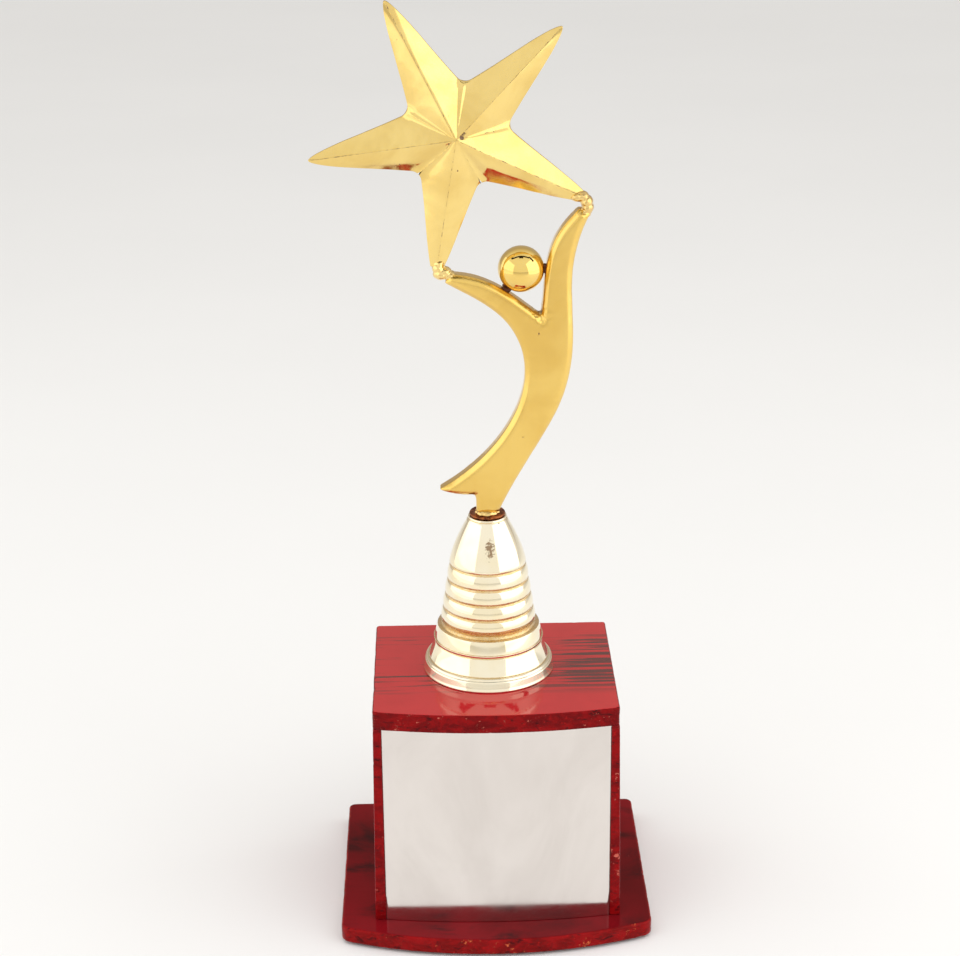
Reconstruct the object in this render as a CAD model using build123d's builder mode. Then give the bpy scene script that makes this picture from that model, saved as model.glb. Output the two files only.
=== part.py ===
"""Star trophy: a cast gilt figure holds up a star, on a bell-shaped riser and a lacquered wooden block.

Millimetres, +Z up, the front towards -Y. The origin is the middle of the underside of the felt.
"""
from build123d import *
import math
import os

os.makedirs("parts", exist_ok=True)

# Felt and base board
felt_thickness = 1.0
felt_inset = 3.0
base_width = 111.3
base_depth = 99.3
base_bow = 10.7
base_thickness = 6.0
base_corner = 2.5
base_edge = 0.8

# Hollow block of boards
block_x = 0.5
block_y = 0.8
block_width = 86.0
block_flare = 1.0
block_depth = 71.0
block_height = 83.4
top_thickness = 6.9
top_bow = 4.5
top_edge = 0.6
side_thickness = 2.9
front_thickness = 3.0
back_thickness = 3.0
batten_size = 10.0
batten_gap = 0.1

# Mirror plate and its tape
plate_gap = 0.1
plate_thickness = 0.8
plate_bow = 3.0
tape_thickness = 0.6
tape_width = 18.0
tape_end_gap = 6.0

# Base screws
screw_diameter = 3.5
screw_head_diameter = 7.0
screw_length = 22.0
screw_point = 3.0
screw_hole_gap = 0.3
screw_slot_width = 1.0
screw_slot_depth = 0.8
screw_head_angle = 90.0

# Bell, from its rim up
axis_x = -1.2
axis_y = 1.2
rim_radius = 23.5
rim_top_radius = 22.5
rim_height = 5.0
rim_foot_round = 0.5
rim_top_round = 0.7
flare_foot_radius = 21.3
flare_height = 6.2
neck_radius = 19.2
collar_radius = 19.6
collar_height = 1.3
band_foot_radius = 19.2
band_top_radius = 18.2
band_height = 4.8
waist_radius = 16.6
waist_height = 2.4
cone_foot_radius = 16.9
cone_top_radius = 13.65
ring_heights = (4.6, 5.3, 5.5, 5.7)
ring_groove_radius = 0.5
ring_groove_depth = 0.4
dome_height = 16.8
dome_top_radius = 7.0
dome_bulge = 0.7
lip_radius = 6.6
lip_height = 1.0
bell_wall = 1.8

# Rod, nut and washers
rod_diameter = 4.0
rod_gap = 0.3
rod_in_leg = 11.0
rod_below_nut = 3.0
inner_washer_diameter = 16.0
inner_washer_thickness = 1.2
nut_width = 7.0
nut_height = 3.2
foot_washer_radius = 6.5
foot_washer_thickness = 1.2
foot_washer_chamfer = 0.35

# Figure: a flat casting. Its outline is measured from the axis of the bell and the sole of the foot.
figure_thickness = 8.0
figure_bevel = 1.6
foot_braze_radius = 5.9
foot_braze_height = 1.6
left_hand = (-13.2, 85.7)
crotch = (18.9, 71.7)
arm_slope = 36.9
right_arm_inner_x = 20.2

# Head ball
head_radius = 7.9
head_gap_right = 0.15
head_gap_left = 1.0
bead_radius = 1.4

# Star
star_radius = 49.4
star_inner_radius = 16.8
star_tip_length = 8.4
star_shoulder_width = 6.8
star_relief = 8.0
star_rim = 1.0
star_apex = 0.02
left_tip_angle = -98.9
left_tip_from_hand = (-3.6, -0.75)
left_tip_trim = 4.2
hand_braze_radius = 2.6
left_braze_from_hand = (-1.6, 1.5)
right_braze_from_tip = (-0.9, -1.5)

# Heights and places that follow from the sizes above
base_floor = felt_thickness
block_floor = base_floor + base_thickness
top_floor = block_floor + block_height - top_thickness
block_top = block_floor + block_height
board_height = block_height - top_thickness
front_line = -block_depth / 2
back_line = block_depth / 2
inner_half_width = block_width / 2 - side_thickness
plate_half_width = inner_half_width - plate_gap
bow_radius = (plate_half_width**2 + plate_bow**2) / (2 * plate_bow)
front_board_depth = plate_thickness + tape_thickness
front_batten_line = front_line + front_board_depth + front_thickness + batten_gap
back_batten_line = back_line - back_thickness
batten_x = inner_half_width - batten_size / 2
batten_front_y = front_batten_line + batten_size / 2
batten_back_y = back_batten_line - batten_size / 2
batten_places = [(x, y) for x in (-batten_x, batten_x) for y in (batten_front_y, batten_back_y)]

collar_floor = rim_height + flare_height
band_floor = collar_floor + collar_height
waist_floor = band_floor + band_height
cone_floor = waist_floor + waist_height
dome_floor = cone_floor + sum(ring_heights)
lip_floor = dome_floor + dome_height
bell_height = lip_floor + lip_height
washer_floor = block_top + bell_height
sole = washer_floor + foot_washer_thickness


def polar(centre, radius, angle):
    """Point at a radius and an angle in degrees from a centre."""
    turn = math.radians(angle)
    return (centre[0] + radius * math.cos(turn), centre[1] + radius * math.sin(turn))


def moved(point, step):
    """Point moved by a step."""
    return (point[0] + step[0], point[1] + step[1])


left_tip = moved(left_hand, left_tip_from_hand)
star_centre = polar(left_tip, star_radius, left_tip_angle + 180)
right_tip_angle = left_tip_angle + 72
right_tip = polar(star_centre, star_radius, right_tip_angle)
left_braze = moved(left_hand, left_braze_from_hand)
right_braze = moved(right_tip, right_braze_from_tip)

slope = math.radians(arm_slope)
head_x = right_arm_inner_x - head_gap_right - head_radius
arm_under_head = crotch[1] + (crotch[0] - head_x) * math.tan(slope)
head_z = arm_under_head + (head_radius + head_gap_left) / math.cos(slope)
head_centre = (head_x, head_z)
right_bead = moved(head_centre, (head_radius, 0))
left_bead = polar(head_centre, head_radius, 270 - arm_slope)


def block_plane(height):
    """Horizontal plane at a height, centred on the block."""
    return Plane(origin=(block_x, block_y, height))


def upright_plane(x, y, height):
    """Upright plane that faces the front, its X to the right and its Y up."""
    return Plane(origin=(x, y, height), x_dir=(1, 0, 0), z_dir=(0, -1, 0))


def axis_plane(height):
    """Horizontal plane at a height, centred on the axis of the bell."""
    return Plane(origin=(axis_x, axis_y, height))


figure_plane = upright_plane(axis_x, axis_y, sole)


def bowed_profile(half_width, back, front, bow):
    """Sketch with a straight back and sides, whose front edge bows out at its middle."""
    with BuildSketch(mode=Mode.PRIVATE) as profile:
        with BuildLine():
            edge = ThreePointArc((-half_width, front), (0, front - bow), (half_width, front))
            Polyline(edge @ 1, (half_width, back), (-half_width, back), edge @ 0)
        make_face()
    return profile.sketch


def bowed_sheet(half_width, depth, thickness):
    """Sketch of a bowed sheet that lies at a depth behind the face of the plate and follows its curve."""
    front_middle = front_line - plate_bow + depth
    back_middle = front_middle + thickness
    drop = bow_radius - math.sqrt(bow_radius**2 - half_width**2)
    front = front_middle + drop
    back = back_middle + drop
    with BuildSketch(mode=Mode.PRIVATE) as profile:
        with BuildLine():
            outer = ThreePointArc((-half_width, front), (0, front_middle), (half_width, front))
            inner = ThreePointArc((-half_width, back), (0, back_middle), (half_width, back))
            Line(outer @ 0, inner @ 0)
            Line(outer @ 1, inner @ 1)
        make_face()
    return profile.sketch


def star_sketch(scale):
    """Sketch of the star at a scale about its centre. Each arm narrows faster past its shoulders."""
    shoulder_along = star_radius - star_tip_length
    shoulder_radius = math.hypot(shoulder_along, star_shoulder_width / 2)
    shoulder_angle = math.degrees(math.atan2(star_shoulder_width / 2, shoulder_along))
    corners = []
    for step in range(5):
        tip_angle = left_tip_angle + 72 * step
        corners.append(polar(star_centre, scale * shoulder_radius, tip_angle - shoulder_angle))
        corners.append(polar(star_centre, scale * star_radius, tip_angle))
        corners.append(polar(star_centre, scale * shoulder_radius, tip_angle + shoulder_angle))
        corners.append(polar(star_centre, scale * star_inner_radius, tip_angle + 36))
    with BuildSketch(mode=Mode.PRIVATE) as profile:
        with BuildLine():
            Polyline(*corners, close=True)
        make_face()
    return profile.sketch


# Felt and base board
with BuildPart() as base_felt:
    with BuildSketch():
        add(bowed_profile(base_width / 2, base_depth / 2, base_bow - base_depth / 2, base_bow))
        offset(amount=-felt_inset)
    extrude(amount=felt_thickness)
base_felt.part.label = "base_felt"

with BuildPart() as base_board:
    with BuildSketch(Plane.XY.offset(base_floor)):
        add(bowed_profile(base_width / 2, base_depth / 2, base_bow - base_depth / 2, base_bow))
    extrude(amount=base_thickness)
    fillet(base_board.edges().filter_by(Axis.Z), base_corner)
    base_faces = base_board.faces().filter_by(Axis.Z)
    fillet(base_faces.edges(), base_edge)
    with Locations(Plane(origin=(block_x, block_y, base_floor), x_dir=(1, 0, 0), z_dir=(0, 0, -1))):
        with Locations([(x, -y) for x, y in batten_places]):
            CounterSinkHole(
                radius=screw_diameter / 2 + screw_hole_gap,
                counter_sink_radius=screw_head_diameter / 2 + screw_hole_gap,
                counter_sink_angle=screw_head_angle,
            )
base_board.part.label = "base_board"

with BuildPart() as base_screws:
    head_height = (screw_head_diameter - screw_diameter) / 2 / math.tan(math.radians(screw_head_angle / 2))
    with BuildSketch(Plane.XZ) as screw_side:
        with BuildLine():
            Polyline(
                (0, 0),
                (screw_head_diameter / 2, 0),
                (screw_diameter / 2, head_height),
                (screw_diameter / 2, screw_length - screw_point),
                (0, screw_length),
                close=True,
            )
        make_face()
    revolve(axis=Axis.Z)
    with BuildSketch():
        for turn in (0, 90):
            with Locations(Rotation(0, 0, turn)):
                Rectangle(screw_head_diameter / 2, screw_slot_width)
    extrude(amount=screw_slot_depth, mode=Mode.SUBTRACT)
one_screw = base_screws.part
with BuildPart() as base_screws:
    with Locations(block_plane(base_floor)):
        with Locations(batten_places):
            add(one_screw)
base_screws.part.label = "base_screws"

# Boards of the block
with BuildPart() as corner_battens:
    with BuildSketch(block_plane(block_floor)):
        with Locations(batten_places):
            Rectangle(batten_size, batten_size)
    extrude(amount=board_height)
    add(base_screws.part, mode=Mode.SUBTRACT)
corner_battens.part.label = "corner_battens"


def side_board(side):
    """Upright board at one side, which flares towards its foot. Side is -1 for left and 1 for right."""
    with BuildPart() as board:
        with BuildSketch(upright_plane(block_x, block_y + back_line, block_floor)):
            with BuildLine():
                Polyline(
                    (side * inner_half_width, 0),
                    (side * (block_width / 2 + block_flare), 0),
                    (side * block_width / 2, board_height),
                    (side * inner_half_width, board_height),
                    close=True,
                )
            make_face()
        extrude(amount=block_depth)
    return board.part


left_side_board = side_board(-1)
left_side_board.label = "left_side_board"
right_side_board = side_board(1)
right_side_board.label = "right_side_board"

with BuildPart() as front_board:
    with BuildSketch(block_plane(block_floor)):
        add(bowed_sheet(inner_half_width, front_board_depth, front_thickness))
    extrude(amount=board_height)
front_board.part.label = "front_board"

with BuildPart() as back_board:
    with BuildSketch(block_plane(block_floor)):
        with Locations((0, back_line - back_thickness / 2)):
            Rectangle(2 * inner_half_width, back_thickness)
    extrude(amount=board_height)
back_board.part.label = "back_board"

with BuildPart() as top_board:
    with BuildSketch(block_plane(top_floor)):
        add(bowed_profile(block_width / 2, back_line, front_line, top_bow))
    extrude(amount=top_thickness)
    fillet(top_board.faces().sort_by(Axis.Z)[-1].edges(), top_edge)
    with Locations((axis_x, axis_y, block_top)):
        Hole(rod_diameter / 2 + rod_gap)
top_board.part.label = "top_board"

# Mirror plate and its tape
with BuildPart() as engraving_plate:
    with BuildSketch(block_plane(block_floor + plate_gap)):
        add(bowed_sheet(plate_half_width, 0, plate_thickness))
    extrude(amount=board_height - 2 * plate_gap)
engraving_plate.part.label = "engraving_plate"

with BuildPart() as plate_tape:
    with BuildSketch(block_plane(block_floor + tape_end_gap)):
        add(bowed_sheet(plate_half_width, plate_thickness, tape_thickness))
        with Locations((0, front_line)):
            Rectangle(2 * (plate_half_width - tape_width), 4 * plate_bow, mode=Mode.SUBTRACT)
    extrude(amount=board_height - 2 * tape_end_gap)
plate_tape.part.label = "plate_tape"

# Bell
with BuildPart() as bell:
    with BuildSketch(upright_plane(axis_x, axis_y, block_top)) as bell_side:
        with BuildLine():
            rim = Polyline(
                (0, 0),
                (rim_radius, 0),
                (rim_top_radius, rim_height),
                (flare_foot_radius, rim_height),
            )
            flare = Bezier(
                rim @ 1,
                (neck_radius, rim_height),
                (neck_radius, rim_height + flare_height / 2),
                (neck_radius, collar_floor),
            )
            steps = Polyline(
                flare @ 1,
                (collar_radius, collar_floor),
                (collar_radius, band_floor),
                (band_foot_radius, band_floor),
                (band_top_radius, waist_floor),
                (waist_radius, waist_floor),
                (waist_radius, cone_floor),
                (cone_foot_radius, cone_floor),
                (cone_top_radius, dome_floor),
            )
            dome_middle = ((cone_top_radius + dome_top_radius) / 2 + dome_bulge, dome_floor + dome_height / 2)
            dome = ThreePointArc(steps @ 1, dome_middle, (dome_top_radius, lip_floor))
            Polyline(dome @ 1, (lip_radius, lip_floor), (lip_radius, bell_height), (0, bell_height), (0, 0))
        make_face()
        fillet(bell_side.vertices().group_by(Axis.X)[-1], rim_foot_round)
        fillet(bell_side.vertices().group_by(Axis.X)[-3], rim_top_round)
    revolve(axis=Axis((axis_x, axis_y, 0), (0, 0, 1)))
    groove_level = cone_floor
    for ring_height in ring_heights:
        groove_level += ring_height
        share = (groove_level - cone_floor) / (dome_floor - cone_floor)
        cone_radius = cone_foot_radius + share * (cone_top_radius - cone_foot_radius)
        with Locations(axis_plane(block_top + groove_level)):
            Torus(cone_radius + ring_groove_radius - ring_groove_depth, ring_groove_radius, mode=Mode.SUBTRACT)
    with BuildSketch(upright_plane(axis_x, axis_y, block_top)):
        with BuildLine():
            Polyline(
                (0, 0),
                (flare_foot_radius - bell_wall, 0),
                (neck_radius - bell_wall, rim_height),
                (waist_radius - bell_wall, waist_floor),
                (cone_top_radius - bell_wall, dome_floor),
                (dome_top_radius - bell_wall, lip_floor - bell_wall),
                (0, lip_floor - bell_wall),
                close=True,
            )
        make_face()
    revolve(axis=Axis((axis_x, axis_y, 0), (0, 0, 1)), mode=Mode.SUBTRACT)
    with Locations(axis_plane(block_top + bell_height)):
        Hole(rod_diameter / 2 + rod_gap)
bell.part.label = "bell"

# Rod, nut and washers
with BuildPart() as foot_washer:
    with BuildSketch(axis_plane(washer_floor)):
        Circle(foot_washer_radius)
    extrude(amount=foot_washer_thickness)
    chamfer(foot_washer.edges().filter_by(GeomType.CIRCLE), foot_washer_chamfer)
    with Locations(axis_plane(sole)):
        Hole(rod_diameter / 2 + rod_gap)
foot_washer.part.label = "foot_washer"

with BuildPart() as rod_washer:
    with BuildSketch(axis_plane(top_floor)):
        Circle(inner_washer_diameter / 2)
        Circle(rod_diameter / 2 + rod_gap, mode=Mode.SUBTRACT)
    extrude(amount=-inner_washer_thickness)
rod_washer.part.label = "rod_washer"

nut_top = top_floor - inner_washer_thickness
with BuildPart() as rod_nut:
    with BuildSketch(axis_plane(nut_top)):
        RegularPolygon(nut_width / 2, 6, major_radius=False)
        Circle(rod_diameter / 2, mode=Mode.SUBTRACT)
    extrude(amount=-nut_height)
rod_nut.part.label = "rod_nut"

rod_floor = nut_top - nut_height - rod_below_nut
with BuildPart() as tie_rod:
    with BuildSketch(axis_plane(rod_floor)):
        Circle(rod_diameter / 2)
    extrude(amount=sole + rod_in_leg - rod_floor)
tie_rod.part.label = "tie_rod"

# Figure
with BuildPart() as figure_body:
    with BuildSketch(figure_plane):
        with BuildLine():
            under_arm = Spline(
                moved(left_hand, (-0.5, -1.8)),
                (-3.8, 78.3),
                (6.6, 70.1),
                (12.4, 58.9),
                (12.7, 46.4),
                (7.8, 33.3),
                (-2.4, 20.2),
                (-16.8, 9.3),
            )
            tail = Spline(under_arm @ 1, (-11.3, 7.6), (-4.3, 7.2))
            foot = Polyline(tail @ 1, (-3.9, 5.1), (-3.9, 0), (3.8, 0))
            outer_side = Spline(
                foot @ 1,
                (10.5, 13.3),
                (18.2, 26.5),
                (25.1, 39.6),
                (28.8, 52.1),
                (29.8, 66.1),
                (29.7, 88.7),
                moved(right_tip, (-3.7, -14.9)),
                moved(right_tip, (0.5, -4.2)),
            )
            right_palm = Line(outer_side @ 1, moved(right_tip, (-3.5, -2.6)))
            inner_side = Spline(
                right_palm @ 1,
                moved(right_tip, (-10.9, -11.7)),
                (right_arm_inner_x + 0.2, 88.1),
                tangents=((-0.7, -0.7), (-0.15, -1)),
            )
            inner_foot = Spline(inner_side @ 1, crotch, tangents=((-0.15, -1), (-0.1, -1)))
            over_arm = Spline(
                inner_foot @ 1,
                (10.4, 78.3),
                (4.0, 82.5),
                (-3.7, 85.7),
                moved(left_hand, (0.9, 1.2)),
            )
            Line(over_arm @ 1, under_arm @ 0)
        make_face()
    extrude(amount=figure_thickness / 2, both=True)
    flat_faces = figure_body.faces().filter_by(Axis.Y)
    chamfer(flat_faces.edges(), figure_bevel)
    add(tie_rod.part, mode=Mode.SUBTRACT)
figure_body.part.label = "figure_body"

with BuildPart() as foot_braze:
    with Locations(axis_plane(sole + foot_braze_height / 2)):
        Cone(foot_braze_radius, figure_thickness / 2, foot_braze_height)
    add(figure_body.part, mode=Mode.SUBTRACT)
    add(tie_rod.part, mode=Mode.SUBTRACT)
foot_braze.part.label = "foot_braze"

with BuildPart() as head_ball:
    with Locations(figure_plane):
        with Locations(head_centre):
            Sphere(head_radius)
head_ball.part.label = "head_ball"

with BuildPart() as head_braze_beads:
    with Locations(figure_plane):
        with Locations(right_bead, left_bead):
            Sphere(bead_radius, rotation=(0, 90, 0))
    add(figure_body.part, mode=Mode.SUBTRACT)
    add(head_ball.part, mode=Mode.SUBTRACT)
head_braze_beads.part.label = "head_braze_beads"

# Star
with BuildPart() as star:
    with BuildSketch(figure_plane.offset(-star_rim / 2)):
        add(star_sketch(1))
    extrude(amount=star_rim)
    for side in (-1, 1):
        with BuildSketch(figure_plane.offset(side * star_rim / 2)):
            add(star_sketch(1))
        with BuildSketch(figure_plane.offset(side * star_relief)):
            add(star_sketch(star_apex))
        loft(ruled=True)
    with BuildSketch(figure_plane.offset(-star_relief)):
        with Locations(Location(polar(star_centre, star_radius, left_tip_angle), left_tip_angle)):
            Rectangle(2 * left_tip_trim, star_inner_radius)
    extrude(amount=2 * star_relief, mode=Mode.SUBTRACT)
star.part.label = "star"


def hand_braze(place):
    """Lump of braze between a hand and a tip of the star."""
    with BuildPart() as lump:
        with Locations(figure_plane):
            with Locations(place):
                Sphere(hand_braze_radius, rotation=(0, 90, 0))
        add(figure_body.part, mode=Mode.SUBTRACT)
        add(star.part, mode=Mode.SUBTRACT)
    return lump.part


left_hand_braze = hand_braze(left_braze)
left_hand_braze.label = "left_hand_braze"
right_hand_braze = hand_braze(right_braze)
right_hand_braze.label = "right_hand_braze"

export_step(base_felt.part, "parts/base_felt.step")
export_step(base_board.part, "parts/base_board.step")
export_step(base_screws.part, "parts/base_screws.step")
export_step(corner_battens.part, "parts/corner_battens.step")
export_step(left_side_board, "parts/left_side_board.step")
export_step(right_side_board, "parts/right_side_board.step")
export_step(front_board.part, "parts/front_board.step")
export_step(back_board.part, "parts/back_board.step")
export_step(top_board.part, "parts/top_board.step")
export_step(engraving_plate.part, "parts/engraving_plate.step")
export_step(plate_tape.part, "parts/plate_tape.step")
export_step(bell.part, "parts/bell.step")
export_step(foot_washer.part, "parts/foot_washer.step")
export_step(rod_washer.part, "parts/rod_washer.step")
export_step(rod_nut.part, "parts/rod_nut.step")
export_step(tie_rod.part, "parts/tie_rod.step")
export_step(figure_body.part, "parts/figure_body.step")
export_step(foot_braze.part, "parts/foot_braze.step")
export_step(head_ball.part, "parts/head_ball.step")
export_step(head_braze_beads.part, "parts/head_braze_beads.step")
export_step(star.part, "parts/star.step")
export_step(left_hand_braze, "parts/left_hand_braze.step")
export_step(right_hand_braze, "parts/right_hand_braze.step")
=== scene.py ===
"""Looks of the star trophy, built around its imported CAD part.

Meshes are in metres, +Z up, with the front towards -Y. Size fields are in millimetres.
"""

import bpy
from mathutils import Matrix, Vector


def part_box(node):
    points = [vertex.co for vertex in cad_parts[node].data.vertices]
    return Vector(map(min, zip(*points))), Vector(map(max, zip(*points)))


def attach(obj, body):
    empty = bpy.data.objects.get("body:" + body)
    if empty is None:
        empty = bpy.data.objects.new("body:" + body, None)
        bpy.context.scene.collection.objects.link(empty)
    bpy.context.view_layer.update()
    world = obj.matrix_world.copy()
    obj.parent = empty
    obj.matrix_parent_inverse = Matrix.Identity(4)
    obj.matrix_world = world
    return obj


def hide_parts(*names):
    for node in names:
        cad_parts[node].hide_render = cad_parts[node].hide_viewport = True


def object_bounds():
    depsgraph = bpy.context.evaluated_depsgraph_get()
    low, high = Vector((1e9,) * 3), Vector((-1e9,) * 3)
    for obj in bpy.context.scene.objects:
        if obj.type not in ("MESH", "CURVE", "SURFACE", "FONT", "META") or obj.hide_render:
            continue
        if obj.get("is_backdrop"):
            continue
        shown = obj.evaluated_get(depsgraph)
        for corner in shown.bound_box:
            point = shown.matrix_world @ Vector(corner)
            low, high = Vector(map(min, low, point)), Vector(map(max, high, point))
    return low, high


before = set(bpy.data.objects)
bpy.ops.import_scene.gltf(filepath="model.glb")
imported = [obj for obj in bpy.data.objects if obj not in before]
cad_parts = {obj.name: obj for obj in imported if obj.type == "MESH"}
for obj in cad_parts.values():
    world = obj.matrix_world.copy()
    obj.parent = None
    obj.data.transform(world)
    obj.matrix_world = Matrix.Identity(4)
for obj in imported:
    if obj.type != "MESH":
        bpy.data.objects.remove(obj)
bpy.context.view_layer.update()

import logging
import math
import random
from collections.abc import Callable, Iterable, Sequence
from dataclasses import dataclass, field
from enum import Enum

import bmesh
import bpy
from mathutils import Matrix, Vector, noise

MM = 0.001
BODY = "root"
log = logging.getLogger("star_trophy")

Colour = tuple[float, float, float]
Point2 = tuple[float, float]
Socket = bpy.types.NodeSocket


# ---------------------------------------------------------------- shader sheets


class Nodes:
    """A node tree, with a short call for each kind of node that the finishes and the sky share."""

    def __init__(self, tree: bpy.types.NodeTree, shader: str, place: str) -> None:
        """Take over a new tree.

        Args:
            tree: The tree.
            shader: Name of its shader node.
            place: Name of the coordinates that its patterns follow.
        """
        self.tree = tree
        self.shader = tree.nodes[shader]
        self.place = self.node("ShaderNodeTexCoord").outputs[place]

    def node(self, kind: str, inputs: dict[str | int, object] | None = None,
             **settings: object) -> bpy.types.Node:
        """Add a node.

        Args:
            kind: Blender's name for the kind of node.
            inputs: Value or socket for each input, by its name or number.
            **settings: Properties of the node.

        Returns:
            The new node.
        """
        made = self.tree.nodes.new(kind)
        for key, value in settings.items():
            setattr(made, key, value)
        for key, value in (inputs or {}).items():
            self.feed(made.inputs[key], value)
        return made

    def feed(self, socket: Socket, value: object) -> None:
        """Give an input its value, or link it.

        Args:
            socket: Input to fill.
            value: A socket to link from, a number, or a colour or vector.
        """
        if isinstance(value, bpy.types.NodeSocket):
            self.tree.links.new(value, socket)
        elif isinstance(value, tuple) and len(value) == 3 and socket.type == "RGBA":
            socket.default_value = (*value, 1.0)
        else:
            socket.default_value = value

    def surface(self, **values: object) -> None:
        """Set inputs of the shader; an underscore in a name stands for a space.

        Args:
            **values: Value or socket for each input.
        """
        for key, value in values.items():
            self.feed(self.shader.inputs[key.replace("_", " ")], value)

    def stretched(self, scale: Colour, turn: float = 0.0) -> Socket:
        """Coordinates stretched along the axes, for a grain that runs one way.

        Args:
            scale: Factor along each axis.
            turn: Turn about the front axis, in degrees.

        Returns:
            The vector socket.
        """
        inputs = {"Vector": self.place, "Scale": scale, "Rotation": (0.0, math.radians(turn), 0.0)}
        return self.node("ShaderNodeMapping", inputs).outputs["Vector"]

    def noise(self, scale: float, detail: float = 3.0, rough: float = 0.55, at: Socket | None = None,
              warp: float = 0.0) -> Socket:
        """Fractal noise from 0 to 1.

        Args:
            scale: Waves to the metre.
            detail: Octaves.
            rough: Share of each octave that the next keeps.
            at: Coordinates, or None for the object's own.
            warp: Distortion.

        Returns:
            The value socket.
        """
        inputs = {"Vector": at or self.place, "Scale": scale, "Detail": detail, "Roughness": rough,
                  "Distortion": warp}
        return self.node("ShaderNodeTexNoise", inputs).outputs["Fac"]

    def math(self, operation: str, a: object, b: object) -> Socket:
        """Result of a maths node.

        Args:
            operation: Blender's name for the operation.
            a: First value or socket.
            b: Second value or socket.

        Returns:
            The value socket.
        """
        return self.node("ShaderNodeMath", {0: a, 1: b}, operation=operation).outputs[0]

    def times(self, a: object, b: object) -> Socket:
        """Product of two values."""
        return self.math("MULTIPLY", a, b)

    def plus(self, a: object, b: object) -> Socket:
        """Sum of two values."""
        return self.math("ADD", a, b)

    def most(self, a: object, b: object) -> Socket:
        """Larger of two values."""
        return self.math("MAXIMUM", a, b)

    def between(self, value: Socket, low: float, high: float, to_low: float = 0.0,
                to_high: float = 1.0) -> Socket:
        """A value carried smoothly from one range to another.

        Args:
            value: Socket to carry over.
            low: Where the first range starts.
            high: Where it ends.
            to_low: Result at low.
            to_high: Result at high.

        Returns:
            The value socket.
        """
        inputs = {0: value, 1: low, 2: high, 3: to_low, 4: to_high}
        return self.node("ShaderNodeMapRange", inputs, interpolation_type="SMOOTHSTEP").outputs[0]

    def mix(self, share: object, under: object, over: object) -> Socket:
        """Colour of one finish over another.

        Args:
            share: How much of the upper colour shows.
            under: Lower colour or socket.
            over: Upper colour or socket.

        Returns:
            The colour socket.
        """
        return self.node("ShaderNodeMix", {0: share, 6: under, 7: over}, data_type="RGBA").outputs[2]

    def veil(self, pattern: Socket, low: float, high: float, under: object, over: object,
             share: float = 1.0) -> Socket:
        """Colour of one finish over another where a pattern is high.

        Args:
            pattern: Value of the pattern.
            low: Where the upper colour starts to show.
            high: Where it shows in full.
            under: Lower colour or socket.
            over: Upper colour or socket.
            share: How much of it shows in full.

        Returns:
            The colour socket.
        """
        return self.mix(self.between(pattern, low, high, 0.0, share), under, over)

    def specks(self, scale: float, size: float, share: float) -> Socket:
        """Mask of small round specks, scattered so that only some cells hold one.

        Args:
            scale: Cells to the metre.
            size: Radius of a speck as a share of its cell.
            share: Share of the cells that hold a speck.

        Returns:
            The value socket, 1 inside a speck.
        """
        wobble = self.node("ShaderNodeTexNoise", {"Vector": self.place, "Scale": scale * 2.2})
        shift = self.node("ShaderNodeVectorMath", {0: wobble.outputs["Color"], 3: 0.45 / scale},
                          operation="SCALE").outputs[0]
        warped = self.node("ShaderNodeVectorMath", {0: self.place, 1: shift}, operation="ADD")
        cells = self.node("ShaderNodeTexVoronoi", {"Vector": warped.outputs[0], "Scale": scale})
        inside = self.between(cells.outputs["Distance"], size, size * 0.45)
        lot = self.node("ShaderNodeSeparateColor", {0: cells.outputs["Color"]}).outputs[0]
        return self.times(inside, self.math("LESS_THAN", lot, share))

    def attribute(self, name: str) -> Socket:
        """Value that a mesh holds at its points.

        Args:
            name: Name of the attribute.

        Returns:
            The value socket.
        """
        return self.node("ShaderNodeAttribute", attribute_name=name).outputs["Fac"]

    def bump(self, height: Socket, depth: float, under: Socket | None = None) -> Socket:
        """Normal of a relief.

        Args:
            height: Relief from 0 to 1.
            depth: Depth in millimetres.
            under: Normal that the relief lies on.

        Returns:
            The normal socket.
        """
        inputs: dict[str | int, object] = {"Height": height, "Distance": depth * MM, "Strength": 1.0}
        if under is not None:
            inputs["Normal"] = under
        return self.node("ShaderNodeBump", inputs).outputs["Normal"]


class Sheet(Nodes):
    """The node tree of one finish."""

    def __init__(self, name: str) -> None:
        """Start an empty finish.

        Args:
            name: Name of the material.
        """
        self.material = bpy.data.materials.new(name)
        self.material.use_nodes = True
        super().__init__(self.material.node_tree, "Principled BSDF", "Object")


# ---------------------------------------------------------------- finishes


MADE: dict[str, bpy.types.Material] = {}


@dataclass(frozen=True)
class Finish:
    """What every finish has: its name and, for the sawn edge of a board, the finish whose slot it shares."""

    name: str
    board: str = field(default="", kw_only=True)

    @property
    def slot(self) -> str:
        """Slot of the part that the finish fills."""
        return self.board or self.name

    def make(self) -> bpy.types.Material:
        """Build the material the first time that it is asked for.

        Returns:
            The material.
        """
        if self.name not in MADE:
            sheet = Sheet(self.name)
            self.dress(sheet)
            MADE[self.name] = sheet.material
        return MADE[self.name]

    def dress(self, sheet: Sheet) -> None:
        """Lay the finish on its sheet, in the way of its own kind."""
        raise NotImplementedError


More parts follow.
